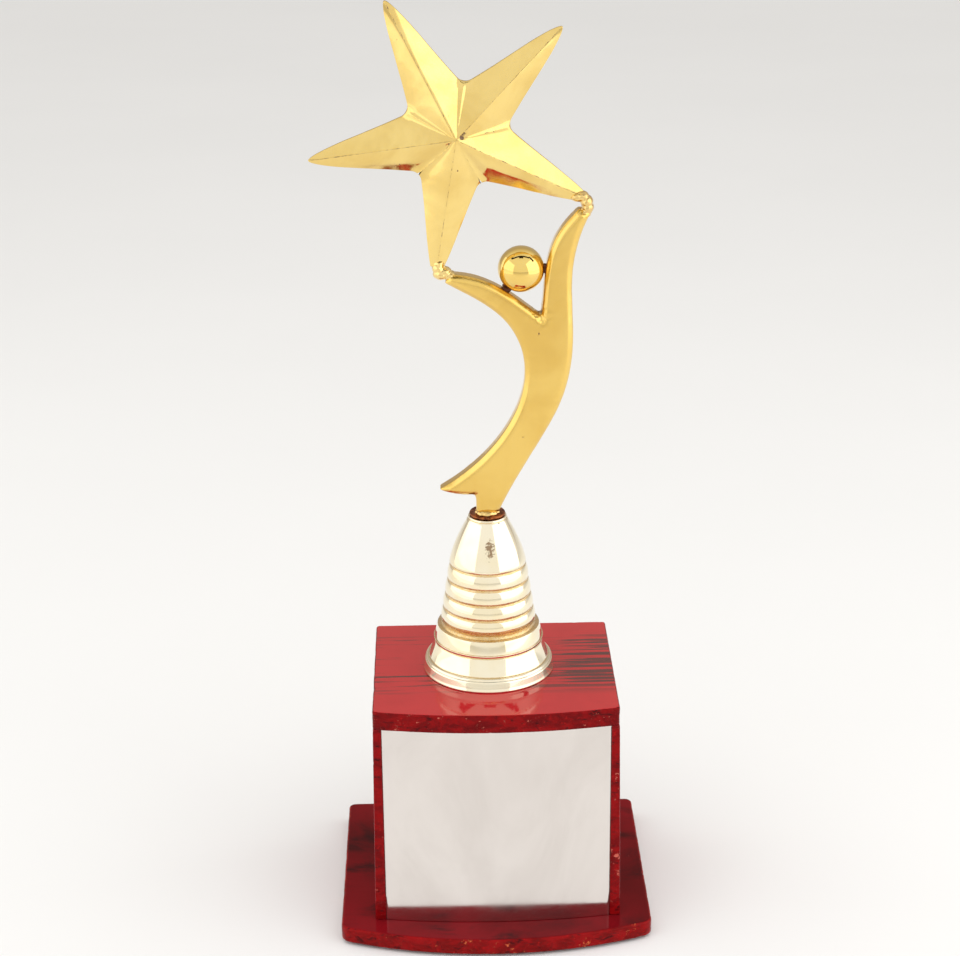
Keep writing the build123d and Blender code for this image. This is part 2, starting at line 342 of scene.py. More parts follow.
@dataclass(frozen=True)
class Gilt(Finish):
    """Gold plate over a casting: tone drifts, brushing, pinholes, brown where the heat reached, and brown
    painted shade where a mesh asks for it, as along the star's valleys and ridge lines.
    """

    colour: Colour
    deep: Colour
    roughness: float
    brushed: float = 0.02
    grain: float = 0.004
    ripple: float = 0.02
    pinholes: float = 0.1
    burn_and_shade_colour: Colour = (0.10, 0.03, 0.01)
    lacquer: float = 0.6

    def dress(self, sheet: Sheet) -> None:
        """Lay the finish.

        Args:
            sheet: Sheet to lay it on.
        """
        drift = sheet.noise(38.0, 4.0, 0.6, warp=0.6)
        colour = sheet.veil(drift, 0.35, 0.7, self.colour, self.deep)
        wipe = sheet.noise(60.0, 5.0, 0.7, at=sheet.stretched((6.0, 6.0, 1.0), 20.0))
        colour = sheet.veil(wipe, 0.5, 0.8, colour, self.deep, 0.35)
        # The mesh's burn attribute holds brown from the heat and, on the star, painted shade along the
        # valleys and ridge lines; both darken the colour below.
        burn_and_shade = sheet.attribute("burn_and_shade")
        patch = sheet.noise(520.0, 4.0, 0.7)
        burnt = sheet.between(sheet.plus(burn_and_shade, patch), 0.95, 1.25)
        hole = sheet.most(sheet.specks(170.0, 0.085, self.pinholes),
                          sheet.specks(420.0, 0.13, self.pinholes * 0.5))
        stain_and_shade = sheet.most(sheet.times(burnt, 0.92), sheet.times(hole, 0.85))
        colour = sheet.mix(stain_and_shade, colour, self.burn_and_shade_colour)
        fine = sheet.noise(2600.0, 2.0, 0.6)
        lines = sheet.noise(900.0, 3.0, 0.6, at=sheet.stretched((1.0, 1.0, 0.06), 14.0))
        shine = sheet.between(lines, 0.3, 0.8, self.roughness, self.roughness + self.brushed)
        shine = sheet.plus(shine, sheet.times(stain_and_shade, 0.35))
        relief = sheet.bump(sheet.noise(170.0, 2.0), self.ripple)
        relief = sheet.bump(fine, self.grain, relief)
        relief = sheet.bump(sheet.times(sheet.most(hole, burnt), -1.0), 0.12, relief)
        sheet.surface(Base_Color=colour, Roughness=shine, Normal=relief, Metallic=1.0,
                      Coat_Weight=self.lacquer, Coat_Roughness=0.05, Coat_IOR=1.9)


@dataclass(frozen=True)
class Oxide(Finish):
    """Copper burnt brown by the torch, with darker scale and a few bright rubs."""

    copper: Colour = (0.36, 0.105, 0.03)
    scale_colour: Colour = (0.10, 0.022, 0.008)
    rub: Colour = (0.62, 0.30, 0.10)

    def dress(self, sheet: Sheet) -> None:
        """Lay the finish.

        Args:
            sheet: Sheet to lay it on.
        """
        cloud = sheet.noise(420.0, 5.0, 0.7, warp=0.8)
        colour = sheet.veil(cloud, 0.4, 0.62, self.copper, self.scale_colour)
        rubs = sheet.between(sheet.noise(900.0, 4.0, 0.7), 0.62, 0.72)
        colour = sheet.mix(rubs, colour, self.rub)
        shine = sheet.between(cloud, 0.3, 0.7, 0.28, 0.55)
        relief = sheet.bump(sheet.noise(1500.0, 4.0, 0.7), 0.08)
        sheet.surface(Base_Color=colour, Roughness=shine, Normal=relief, Metallic=0.85)


@dataclass(frozen=True)
class Metallised(Finish):
    """Pale gold film on moulded plastic, rougher in the grooves, with brown painted shade laid into them."""

    colour: Colour = (0.95, 0.86, 0.65)
    warm: Colour = (0.92, 0.79, 0.51)
    groove_shade_colour: Colour = (0.70, 0.45, 0.16)
    mark: Colour = (0.24, 0.12, 0.04)
    mark_at: tuple[float, float, float] = (0.0, 0.0, 0.0)
    mark_size: float = 1.7
    mark_height: float = 4.6

    def dress(self, sheet: Sheet) -> None:
        """Lay the finish.

        Args:
            sheet: Sheet to lay it on.
        """
        film = sheet.noise(45.0, 3.0, 0.6)
        colour = sheet.veil(film, 0.4, 0.75, self.colour, self.warm)
        groove = sheet.attribute("groove")
        broken = sheet.noise(900.0, 4.0, 0.7, at=sheet.stretched((1.0, 1.0, 2.2)))
        # Brown painted shade in the grooves and hollows, broken up by noise; it also makes them rougher.
        groove_shade_mask = sheet.times(groove, sheet.between(broken, 0.3, 0.62, 0.55, 1.0))
        colour = sheet.mix(groove_shade_mask, colour, self.groove_shade_colour)
        away = sheet.node("ShaderNodeVectorMath", {0: sheet.place, 1: self.mark_at}, operation="SUBTRACT")
        reach = 1.0 / (self.mark_size * MM)
        squeezed = sheet.node("ShaderNodeVectorMath", {
            0: away.outputs[0], 1: (reach, reach, reach * self.mark_size / self.mark_height)},
            operation="MULTIPLY")
        far = sheet.node("ShaderNodeVectorMath", {0: squeezed.outputs[0]}, operation="LENGTH")
        torn = sheet.between(sheet.noise(700.0, 4.0, 0.7), 0.25, 0.75, -0.6, 0.7)
        ragged = sheet.plus(far.outputs["Value"], torn)
        marked = sheet.between(ragged, 1.0, 0.55)
        specks = sheet.specks(260.0, 0.07, 0.12)
        dirt = sheet.most(sheet.times(marked, 0.85), sheet.times(specks, 0.5))
        colour = sheet.mix(dirt, colour, self.mark)
        smear = sheet.noise(120.0, 4.0, 0.6, at=sheet.stretched((1.0, 1.0, 0.25)))
        shine = sheet.between(smear, 0.3, 0.8, 0.055, 0.13)
        shine = sheet.plus(shine, sheet.times(groove_shade_mask, 0.22))
        relief = sheet.bump(sheet.noise(80.0, 1.0), 0.035)
        relief = sheet.bump(sheet.times(broken, groove), 0.12, relief)
        sheet.surface(Base_Color=colour, Roughness=shine, Normal=relief, Metallic=1.0,
                      Coat_Weight=0.6, Coat_Roughness=0.04, Coat_IOR=1.45)


@dataclass(frozen=True)
class Lacquer(Finish):
    """Red lacquer flowed over stained board: clouded, with dark grain or smoke under it, and dust."""

    colour: Colour
    deep: Colour
    grain: Colour = (0.060, 0.022, 0.020)
    grain_share: float = 0.0
    grain_from: float = -0.025
    grain_to: float = 0.030
    smoke: float = 0.0
    dust: Colour = (0.62, 0.10, 0.08)
    orange_peel: float = 0.012
    gloss: float = 0.05
    specular: float = 0.5

    def dress(self, sheet: Sheet) -> None:
        """Lay the finish.

        Args:
            sheet: Sheet to lay it on.
        """
        cloud = sheet.noise(28.0, 4.0, 0.6, warp=0.4)
        colour = sheet.veil(cloud, 0.35, 0.7, self.colour, self.deep)
        if self.grain_share > 0.0:
            axes = sheet.node("ShaderNodeSeparateXYZ", {0: sheet.place}).outputs
            colour = self.grained(sheet, colour, axes)
        if self.smoke > 0.0:
            smoke = sheet.noise(24.0, 5.0, 0.62, at=sheet.stretched((1.0, 1.6, 1.0)), warp=1.2)
            colour = sheet.veil(smoke, 0.44, 0.70, colour, self.grain, self.smoke)
        dust = sheet.specks(330.0, 0.07, 0.10)
        colour = sheet.mix(sheet.times(dust, 0.5), colour, self.dust)
        shine = sheet.between(sheet.noise(90.0, 4.0, 0.6), 0.3, 0.8, self.gloss, self.gloss + 0.06)
        relief = sheet.bump(sheet.noise(150.0, 2.0), self.orange_peel)
        relief = sheet.bump(sheet.times(dust, -1.0), 0.10, relief)
        sheet.surface(Base_Color=colour, Roughness=shine, Normal=relief, Specular_IOR_Level=self.specular)

    def grained(self, sheet: Sheet, colour: Socket, axes: Sequence[Socket]) -> Socket:
        """Dark grain that runs from side to side in a band across the board.

        Args:
            sheet: Sheet of the finish.
            colour: Colour under the grain.
            axes: Sockets of the X, Y and Z coordinates.

        Returns:
            The colour socket.
        """
        waver = sheet.noise(30.0, 2.0, 0.5, at=sheet.stretched((1.0, 0.2, 0.2)))
        streak = sheet.noise(40.0, 4.0, 0.58, at=sheet.stretched((0.45, 14.0, 1.0)), warp=0.2)
        band = sheet.times(sheet.between(axes[1], self.grain_from, self.grain_from + 0.012),
                          sheet.between(axes[1], self.grain_to, self.grain_to - 0.010))
        side = sheet.between(axes[0], 0.005, 0.040, -0.035, 0.08)
        drift = sheet.plus(sheet.between(waver, 0.3, 0.7, -0.04, 0.04), side)
        lines = sheet.between(sheet.plus(streak, drift), 0.51, 0.59)
        share = sheet.times(lines, band)
        return sheet.mix(sheet.times(share, self.grain_share), colour, self.grain)


@dataclass(frozen=True)
class LacquerEdge(Finish):
    """Red lacquer on a sawn edge: uneven and mottled, with dark runs, bright flakes and pale chips."""

    colour: Colour
    deep: Colour
    run: Colour = (0.025, 0.002, 0.003)
    flake: Colour = (0.55, 0.012, 0.010)
    chip: Colour = (0.62, 0.14, 0.10)
    chips: float = 0.785
    specular: float = 0.08
    gloss: float = 0.12

    def dress(self, sheet: Sheet) -> None:
        """Lay the finish.

        Args:
            sheet: Sheet to lay it on.
        """
        blotch = sheet.noise(120.0, 5.0, 0.68, at=sheet.stretched((1.0, 1.0, 1.7)), warp=0.5)
        colour = sheet.veil(blotch, 0.38, 0.62, self.colour, self.deep)
        runs = sheet.noise(310.0, 5.0, 0.7, at=sheet.stretched((0.6, 1.0, 1.3)), warp=0.6)
        colour = sheet.veil(runs, 0.55, 0.68, colour, self.run, 0.85)
        flakes = sheet.noise(640.0, 5.0, 0.72)
        colour = sheet.veil(flakes, 0.60, 0.70, colour, self.flake, 0.6)
        spread = sheet.noise(85.0, 2.0, 0.5)
        chipped = sheet.between(sheet.plus(sheet.times(spread, 0.45),
                                           sheet.times(sheet.noise(420.0, 5.0, 0.74), 0.9)),
                                self.chips, self.chips + 0.05)
        colour = sheet.mix(sheet.times(chipped, 0.8), colour, self.chip)
        shine = sheet.between(runs, 0.3, 0.7, self.gloss, self.gloss + 0.22)
        relief = sheet.bump(blotch, 0.45)
        relief = sheet.bump(runs, 0.16, relief)
        relief = sheet.bump(sheet.times(chipped, -1.0), 0.15, relief)
        sheet.surface(Base_Color=colour, Roughness=shine, Normal=relief, Specular_IOR_Level=self.specular)


@dataclass(frozen=True)
class MirrorSheet(Finish):
    """Bright mirror sheet with faint scratches and wiped haze."""

    colour: Colour = (0.775, 0.725, 0.69)
    shade: Colour = (0.69, 0.64, 0.605)

    def dress(self, sheet: Sheet) -> None:
        """Lay the finish.

        Args:
            sheet: Sheet to lay it on.
        """
        haze = sheet.noise(24.0, 5.0, 0.65, at=sheet.stretched((1.0, 1.0, 0.6), 30.0), warp=0.8)
        colour = sheet.veil(haze, 0.35, 0.75, self.colour, self.shade)
        hairs = sheet.noise(700.0, 3.0, 0.7, at=sheet.stretched((1.0, 1.0, 0.03), 63.0))
        scratch = sheet.between(hairs, 0.70, 0.76)
        colour = sheet.mix(sheet.times(scratch, 0.25), colour, (0.70, 0.67, 0.64))
        shine = sheet.between(haze, 0.3, 0.8, 0.10, 0.20)
        shine = sheet.plus(shine, sheet.times(scratch, 0.1))
        relief = sheet.bump(sheet.noise(35.0, 2.0), 0.03)
        relief = sheet.bump(sheet.times(scratch, -1.0), 0.01, relief)
        sheet.surface(Base_Color=colour, Roughness=shine, Normal=relief, Metallic=1.0)


@dataclass(frozen=True)
class Steel(Finish):
    """Zinc-plated steel with turning marks and a dull bloom."""

    colour: Colour
    bloom: Colour

    def dress(self, sheet: Sheet) -> None:
        """Lay the finish.

        Args:
            sheet: Sheet to lay it on.
        """
        cloud = sheet.noise(260.0, 5.0, 0.65)
        colour = sheet.veil(cloud, 0.35, 0.7, self.colour, self.bloom)
        turned = sheet.noise(1400.0, 3.0, 0.6, at=sheet.stretched((0.2, 0.2, 1.0)))
        shine = sheet.between(turned, 0.3, 0.8, 0.24, 0.42)
        sheet.surface(Base_Color=colour, Roughness=shine, Metallic=1.0, Normal=sheet.bump(turned, 0.02))


@dataclass(frozen=True)
class Sawn(Finish):
    """Bare wood or fibreboard: darker growth or fibre lines along the grain, and a sawn nap."""

    colour: Colour
    dark: Colour
    along: Colour
    scale: float = 90.0

    def dress(self, sheet: Sheet) -> None:
        """Lay the finish.

        Args:
            sheet: Sheet to lay it on.
        """
        lines = sheet.noise(self.scale, 6.0, 0.65, at=sheet.stretched(self.along), warp=0.5)
        colour = sheet.veil(lines, 0.35, 0.7, self.colour, self.dark)
        nap = sheet.noise(self.scale * 12.0, 4.0, 0.7, at=sheet.stretched(self.along))
        shine = sheet.between(nap, 0.3, 0.8, 0.65, 0.9)
        sheet.surface(Base_Color=colour, Roughness=shine, Normal=sheet.bump(nap, 0.08))


@dataclass(frozen=True)
class Soft(Finish):
    """Felt or foam: a fine fibrous or open-celled surface with a soft sheen."""

    colour: Colour
    dark: Colour
    scale: float
    depth: float
    sheen: float = 0.3

    def dress(self, sheet: Sheet) -> None:
        """Lay the finish.

        Args:
            sheet: Sheet to lay it on.
        """
        fibre = sheet.noise(self.scale, 6.0, 0.75, warp=1.5)
        colour = sheet.veil(fibre, 0.35, 0.65, self.colour, self.dark)
        shine = sheet.between(fibre, 0.3, 0.8, 0.8, 0.98)
        relief = sheet.bump(fibre, self.depth)
        sheet.surface(Base_Color=colour, Roughness=shine, Normal=relief, Sheen_Weight=self.sheen)


POLISHED_GILT = Gilt("polished_gilt", (0.90, 0.66, 0.20), (0.76, 0.51, 0.115), 0.10,
                     brushed=0.06, ripple=0.03, pinholes=0.12)
SATIN_GILT = Gilt("satin_gilt", (0.86, 0.575, 0.115), (0.76, 0.47, 0.07), 0.24,
                  brushed=0.03, grain=0.003, ripple=0.02, pinholes=0.09)
MIRROR_GILT = Gilt("mirror_gilt", (0.92, 0.66, 0.17), (0.86, 0.58, 0.12), 0.03,
                   brushed=0.02, grain=0.0015, ripple=0.01, pinholes=0.03)
GILT_BRAZE = Gilt("gilt_braze", (0.90, 0.65, 0.22), (0.72, 0.45, 0.12), 0.10,
                  brushed=0.08, grain=0.008, ripple=0.08, pinholes=0.18)
BROWN_BRAZE = Gilt("brown_braze", (0.22, 0.07, 0.03), (0.09, 0.022, 0.012), 0.22,
                   brushed=0.20, grain=0.02, ripple=0.05, pinholes=0.3, lacquer=0.2)
TOP_LACQUER = Lacquer("red_lacquer_top", (0.48, 0.018, 0.022), (0.42, 0.014, 0.018),
                      grain_share=0.9, specular=0.62)
TOP_EDGE = LacquerEdge("red_lacquer_top_edge", (0.24, 0.003, 0.004), (0.13, 0.002, 0.003),
                       board=TOP_LACQUER.name)
SIDE_LACQUER = Lacquer("red_lacquer_side", (0.25, 0.004, 0.007), (0.17, 0.003, 0.005),
                       smoke=0.35, specular=0.3)
SIDE_EDGE = LacquerEdge("red_lacquer_side_edge", (0.26, 0.003, 0.004), (0.15, 0.002, 0.003), chips=0.81,
                        board=SIDE_LACQUER.name)
BASE_LACQUER = Lacquer("red_lacquer_base", (0.20, 0.005, 0.009), (0.13, 0.004, 0.006),
                       grain=(0.020, 0.006, 0.007), smoke=0.9, specular=0.06)
BASE_EDGE = LacquerEdge("red_lacquer_base_edge", (0.27, 0.004, 0.005), (0.15, 0.003, 0.003),
                        chip=(0.75, 0.16, 0.06), board=BASE_LACQUER.name)
PLATED_STEEL = Steel("plated_steel", (0.62, 0.62, 0.60), (0.44, 0.44, 0.43))
SCREW_STEEL = Steel("screw_steel", (0.60, 0.53, 0.33), (0.46, 0.38, 0.22))
FIBREBOARD = Sawn("bare_fibreboard", (0.36, 0.22, 0.11), (0.26, 0.15, 0.07), (1.0, 1.0, 1.0))
SOFTWOOD = Sawn("bare_softwood", (0.62, 0.42, 0.22), (0.45, 0.26, 0.11), (4.0, 4.0, 0.25))
FOAM_TAPE = Soft("foam_tape", (0.72, 0.72, 0.69), (0.60, 0.60, 0.57), 2200.0, 0.05, 0.1)
BLACK_FELT = Soft("black_felt", (0.02, 0.02, 0.024), (0.008, 0.008, 0.010), 1600.0, 0.15, 0.5)


# ---------------------------------------------------------------- mesh tools


def ramp(value: float, low: float, high: float) -> float:
    """Smooth step from 0 at low to 1 at high."""
    share = min(max((value - low) / (high - low), 0.0), 1.0)
    return share * share * (3.0 - 2.0 * share)


def centre_of(box: tuple[Vector, Vector]) -> Vector:
    """Middle of a box."""
    return (box[0] + box[1]) / 2.0


def box_mm(node: str) -> tuple[Vector, Vector]:
    """Lowest and highest corner of a CAD node, in millimetres."""
    low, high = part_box(node)
    return low / MM, high / MM


def foot_of(node: str) -> Vector:
    """Middle of the foot of a CAD node."""
    low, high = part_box(node)
    return Vector(((low.x + high.x) / 2, (low.y + high.y) / 2, low.z))


def toward(degrees: float) -> Vector:
    """Unit vector in the upright plane from side to side, at an angle from the right."""
    turn = math.radians(degrees)
    return Vector((math.cos(turn), 0.0, math.sin(turn)))


def drop(off: float, half: float, bow: float) -> float:
    """How far a bowed front falls back from its middle.

    Args:
        off: Distance from the middle.
        half: Half width of the front.
        bow: How far it falls back at its ends.

    Returns:
        The distance, in the unit of the others.
    """
    radius = (half * half + bow * bow) / (2 * bow)
    return radius - math.sqrt(radius * radius - off * off)


def stand(name: str, data: bpy.types.ID) -> bpy.types.Object:
    """Add an object to the scene.

    Args:
        name: Name of the object.
        data: Its mesh, light or camera.

    Returns:
        The object.
    """
    made = bpy.data.objects.new(name, data)
    bpy.context.scene.collection.objects.link(made)
    return made


def mesh_from(work: bmesh.types.BMesh, name: str) -> bpy.types.Mesh:
    """Turn mesh work into a smooth mesh with its faces outward.

    Args:
        work: The mesh work, which is freed.
        name: Name of the mesh.

    Returns:
        The mesh.
    """
    bmesh.ops.recalc_face_normals(work, faces=work.faces)
    mesh = bpy.data.meshes.new(name)
    work.to_mesh(mesh)
    work.free()
    mesh.shade_smooth()
    return mesh


def rounded_solid(mesh: bpy.types.Mesh, voxel: float, passes: int) -> bpy.types.Mesh:
    """Fuse a mesh into one even skin and soften its edges.

    Args:
        mesh: Mesh of one or more closed solids.
        voxel: Size of the skin's faces in millimetres.
        passes: How often the skin is smoothed.

    Returns:
        The new mesh.
    """
    holder = stand("work", mesh)
    skin = holder.modifiers.new("skin", "REMESH")
    skin.mode = "VOXEL"
    skin.voxel_size = voxel * MM
    if passes:
        soften = holder.modifiers.new("soften", "SMOOTH")
        soften.factor = 0.5
        soften.iterations = passes
    view = bpy.context.evaluated_depsgraph_get()
    result = bpy.data.meshes.new_from_object(holder.evaluated_get(view))
    bpy.data.objects.remove(holder)
    result.materials.clear()
    result.shade_smooth()
    return result


def push(mesh: bpy.types.Mesh, amount: Callable[[Vector, Vector], float]) -> None:
    """Move each point of a mesh along its normal.

    Args:
        mesh: Mesh to change.
        amount: Distance in metres from a point and its normal.
    """
    normals = [Vector(item.vector) for item in mesh.vertex_normals]
    for point, normal in zip(mesh.vertices, normals):
        point.co = point.co + normal * amount(point.co, normal)


def paint(mesh: bpy.types.Mesh, name: str, value: Callable[[Vector], float]) -> None:
    """Give each point of a mesh a value that a finish reads.

    Args:
        mesh: Mesh to paint.
        name: Name of the attribute.
        value: Value at a point.
    """
    layer = mesh.attributes.get(name) or mesh.attributes.new(name, "FLOAT", "POINT")
    layer.data.foreach_set("value", [value(point.co) for point in mesh.vertices])


def near(point: Vector, spots: Iterable[tuple[Vector, float]]) -> float:
    """How near a point is to any of some spots.

    Args:
        point: Point in metres.
        spots: Middle and reach in metres of each spot.

    Returns:
        1 at a spot's middle, down to 0 at its reach.
    """
    return max((1.0 - min((point - middle).length / reach, 1.0) for middle, reach in spots), default=0.0)


def lathe(profile: Sequence[Point2], axis: Vector, name: str, steps: int = 160) -> bpy.types.Mesh:
    """Turn a closed profile about an upright axis.

    Args:
        profile: Radius and height of each point, in millimetres, round the section.
        axis: Foot of the axis in metres.
        name: Name of the mesh.
        steps: Faces round the axis.

    Returns:
        The mesh.
    """
    work = bmesh.new()
    rings = []
    for step in range(steps):
        turn = math.tau * step / steps
        out = Vector((math.cos(turn), math.sin(turn), 0.0))
        rings.append([work.verts.new(axis + (out * radius + Vector((0.0, 0.0, height))) * MM)
                      for radius, height in profile])
    for step, ring in enumerate(rings):
        after = rings[(step + 1) % steps]
        for spot in range(len(profile)):
            following = (spot + 1) % len(profile)
            work.faces.new((ring[spot], after[spot], after[following], ring[following]))
    bmesh.ops.remove_doubles(work, verts=work.verts, dist=1e-6)
    return mesh_from(work, name)


def path(corners: Sequence[tuple[float, float, float]], step: float) -> list[Point2]:
    """Closed outline through corners, each rounded, with points at an even step.

    Args:
        corners: X, Y and corner radius of each corner, counter-clockwise.
        step: Distance between points.

    Returns:
        The points.
    """
    points: list[Point2] = []
    count = len(corners)
    ends = []
    for number, (x, y, radius) in enumerate(corners):
        here = Vector((x, y))
        back = (Vector(corners[number - 1][:2]) - here).normalized()
        ahead = (Vector(corners[(number + 1) % count][:2]) - here).normalized()
        half = back.angle(ahead) / 2.0
        cut = radius / math.tan(half)
        middle = here + (back + ahead).normalized() * (radius / math.sin(half))
        ends.append((here + back * cut, here + ahead * cut, middle, radius))
    for number, (start, end, middle, radius) in enumerate(ends):
        first = math.atan2(*(start - middle).yx)
        sweep = (math.atan2(*(end - middle).yx) - first + math.pi) % math.tau - math.pi
        pieces = max(3, round(abs(sweep) * radius / step))
        for piece in range(pieces + 1):
            turn = first + sweep * piece / pieces
            points.append((middle.x + radius * math.cos(turn), middle.y + radius * math.sin(turn)))
        after = ends[(number + 1) % count][0]
        gap = after - end
        pieces = max(1, round(gap.length / step))
        points += [tuple(end + gap * piece / pieces) for piece in range(1, pieces)]
    return points


class Way(Enum):
    """The way that a slab's thickness runs, as the axes of its outline and of its thickness."""

    UP = (Vector((1.0, 0.0, 0.0)), Vector((0.0, 1.0, 0.0)), Vector((0.0, 0.0, 1.0)))
    BACK = (Vector((1.0, 0.0, 0.0)), Vector((0.0, 0.0, 1.0)), Vector((0.0, 1.0, 0.0)))


@dataclass(frozen=True)
class Wear:
    """How far the sanded and chipped edge of a board wanders, in millimetres."""

    wander: float = 0.16
    chip: float = 0.45
    wander_scale: float = 160.0
    chip_scale: float = 420.0
    chip_start: float = 0.42


def slab(outline: Sequence[Point2], low: float, high: float, edge: float, band: float, way: Way, name: str,
         wear: Wear | None = None, rings: int = 4) -> bpy.types.Mesh:
    """Board with rounded edges, whose worn edge wanders.

    Args:
        outline: Points in millimetres, counter-clockwise.
        low: Where the thickness starts, in millimetres.
        high: Where it ends.
        edge: Radius of the edges.
        band: Width of the flat band inside each edge; with the edge it is under the outline's corner radius.
        way: The way that the thickness runs.
        name: Name of the mesh.
        wear: Wear of the edges, or None for a clean piece.
        rings: Steps of each rounded edge.

    Returns:
        The mesh, whose walls have its second material.
    """
    right, up, through = way.value
    count = len(outline)
    inward = []
    for number, point in enumerate(outline):
        before = Vector(point) - Vector(outline[number - 1])
        after = Vector(outline[(number + 1) % count]) - Vector(point)
        along = (before.normalized() + after.normalized()).normalized()
        mitre = 1.0 / max(0.5, along.dot(after.normalized()))
        inward.append(Vector((-along.y, along.x)) * mitre)
    levels = [(edge * (1.0 - math.sin(turn)), low + edge * (1.0 - math.cos(turn)))
              for turn in (math.pi / 2 * step / rings for step in range(rings + 1))]
    walls = max(1, round((high - low - 2 * edge) / 1.0))
    levels += [(0.0, low + edge + (high - low - 2 * edge) * wall / walls) for wall in range(1, walls)]
    levels += [(inset, low + high - height) for inset, height in reversed(levels[:rings + 1])]
    levels = [(edge + band, low), *levels, (edge + band, high)]
    work = bmesh.new()
    stack = []
    for depth, (inset, height) in enumerate(levels):
        ring = []
        for point, inside in zip(outline, inward):
            spot = Vector(point) + inside * inset
            place = (right * spot.x + up * spot.y + through * height) * MM
            if wear and 0 < depth < len(levels) - 1:
                wander = noise.noise(place * wear.wander_scale) * wear.wander
                flake = max(0.0, noise.fractal(place * wear.chip_scale, 0.8, 2.2, 4) - wear.chip_start)
                spot = spot + inside * max(0.0, wander + 2.0 * flake * wear.chip)
                place = (right * spot.x + up * spot.y + through * height) * MM
            ring.append(work.verts.new(place))
        stack.append(ring)
    for depth, (lower, upper) in enumerate(zip(stack, stack[1:])):
        for number in range(count):
            following = (number + 1) % count
            face = work.faces.new((lower[number], lower[following], upper[following], upper[number]))
            face.material_index = 1 if 1 < depth < len(levels) - 3 else 0
    for ring in (stack[0], stack[-1]):
        work.faces.new(ring)
    return mesh_from(work, name)


def fused(spots: Sequence[tuple[Vector, Colour]], name: str, voxel: float = 0.22, passes: int = 9,
          rough: float = 0.14, seed: float = 0.0) -> bpy.types.Mesh:
    """Lump of braze: overlapping beads fused into one skin and roughened.

    Args:
        spots: Middle in metres and half sizes in millimetres of each bead.
        name: Name of the mesh.
        voxel: Size of the skin's faces in millimetres.
        passes: How often the skin is smoothed.
        rough: Height of the unevenness in millimetres.
        seed: Shift of the unevenness.

    Returns:
        The mesh.
    """
    work = bmesh.new()
    for middle, half in spots:
        fit = Matrix.Translation(middle) @ Matrix.Diagonal((*(Vector(half) * MM), 1.0))
        bmesh.ops.create_icosphere(work, subdivisions=3, radius=1.0, matrix=fit)
    mesh = rounded_solid(mesh_from(work, name + "_beads"), voxel, passes)
    mesh.name = name
    shift = Vector((seed, seed, seed))
    push(mesh, lambda at, normal: noise.fractal(at * 480.0 + shift, 0.7, 2.1, 3) * rough * MM)
    return mesh


def part(mesh: bpy.types.Mesh, name: str, finish: Finish, nodes: Sequence[str],
         edge_finish: Finish | None = None) -> bpy.types.Object:
    """Place a mesh as a piece of the trophy that stands for CAD nodes.

    Args:
        mesh: Mesh in its place.
        name: Name of the piece.
        finish: Finish to dress it in.
        nodes: CAD nodes that it stands for.
        edge_finish: Finish of a board's sawn edges, if it has its own.

    Returns:
        The piece.
    """
    piece = stand(name, mesh)
    for each in (finish, edge_finish or finish):
        mesh.materials.append(each.make())
    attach(piece, BODY)
    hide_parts(*nodes)
    log.info("%s: %d faces, stands for %s", name, len(mesh.polygons), ", ".join(nodes))
    return piece


def even_normals(piece: bpy.types.Object) -> None:
    """Let a board's flat faces shade flat, with the rounding kept to its edges."""
    weighted = piece.modifiers.new("flat_faces", "WEIGHTED_NORMAL")
    weighted.mode = "FACE_AREA"
    weighted.weight = 100


def loose_boxes(node: str) -> list[tuple[Vector, Vector]]:
    """Box of each separate solid of a CAD node, from left to right.

    Args:
        node: Name of the node.

    Returns:
        Lowest and highest corner of each solid.
    """
    work = bmesh.new()
    work.from_mesh(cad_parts[node].data)
    bmesh.ops.remove_doubles(work, verts=work.verts, dist=1e-6)
    left = set(work.verts)
    boxes = []
    while left:
        group, queue = [], [left.pop()]
        while queue:
            vert = queue.pop()
            group.append(vert.co.copy())
            for edge in vert.link_edges:
                other = edge.other_vert(vert)
                if other in left:
                    left.remove(other)
                    queue.append(other)
        boxes.append((Vector(map(min, *group)), Vector(map(max, *group))))
    work.free()
    return sorted(boxes, key=lambda box: box[0].x)


# ---------------------------------------------------------------- the trophy


ARM_TURN = 72.0
HALF_ARM = math.radians(ARM_TURN / 2)
ROD_HOLE = 2.15


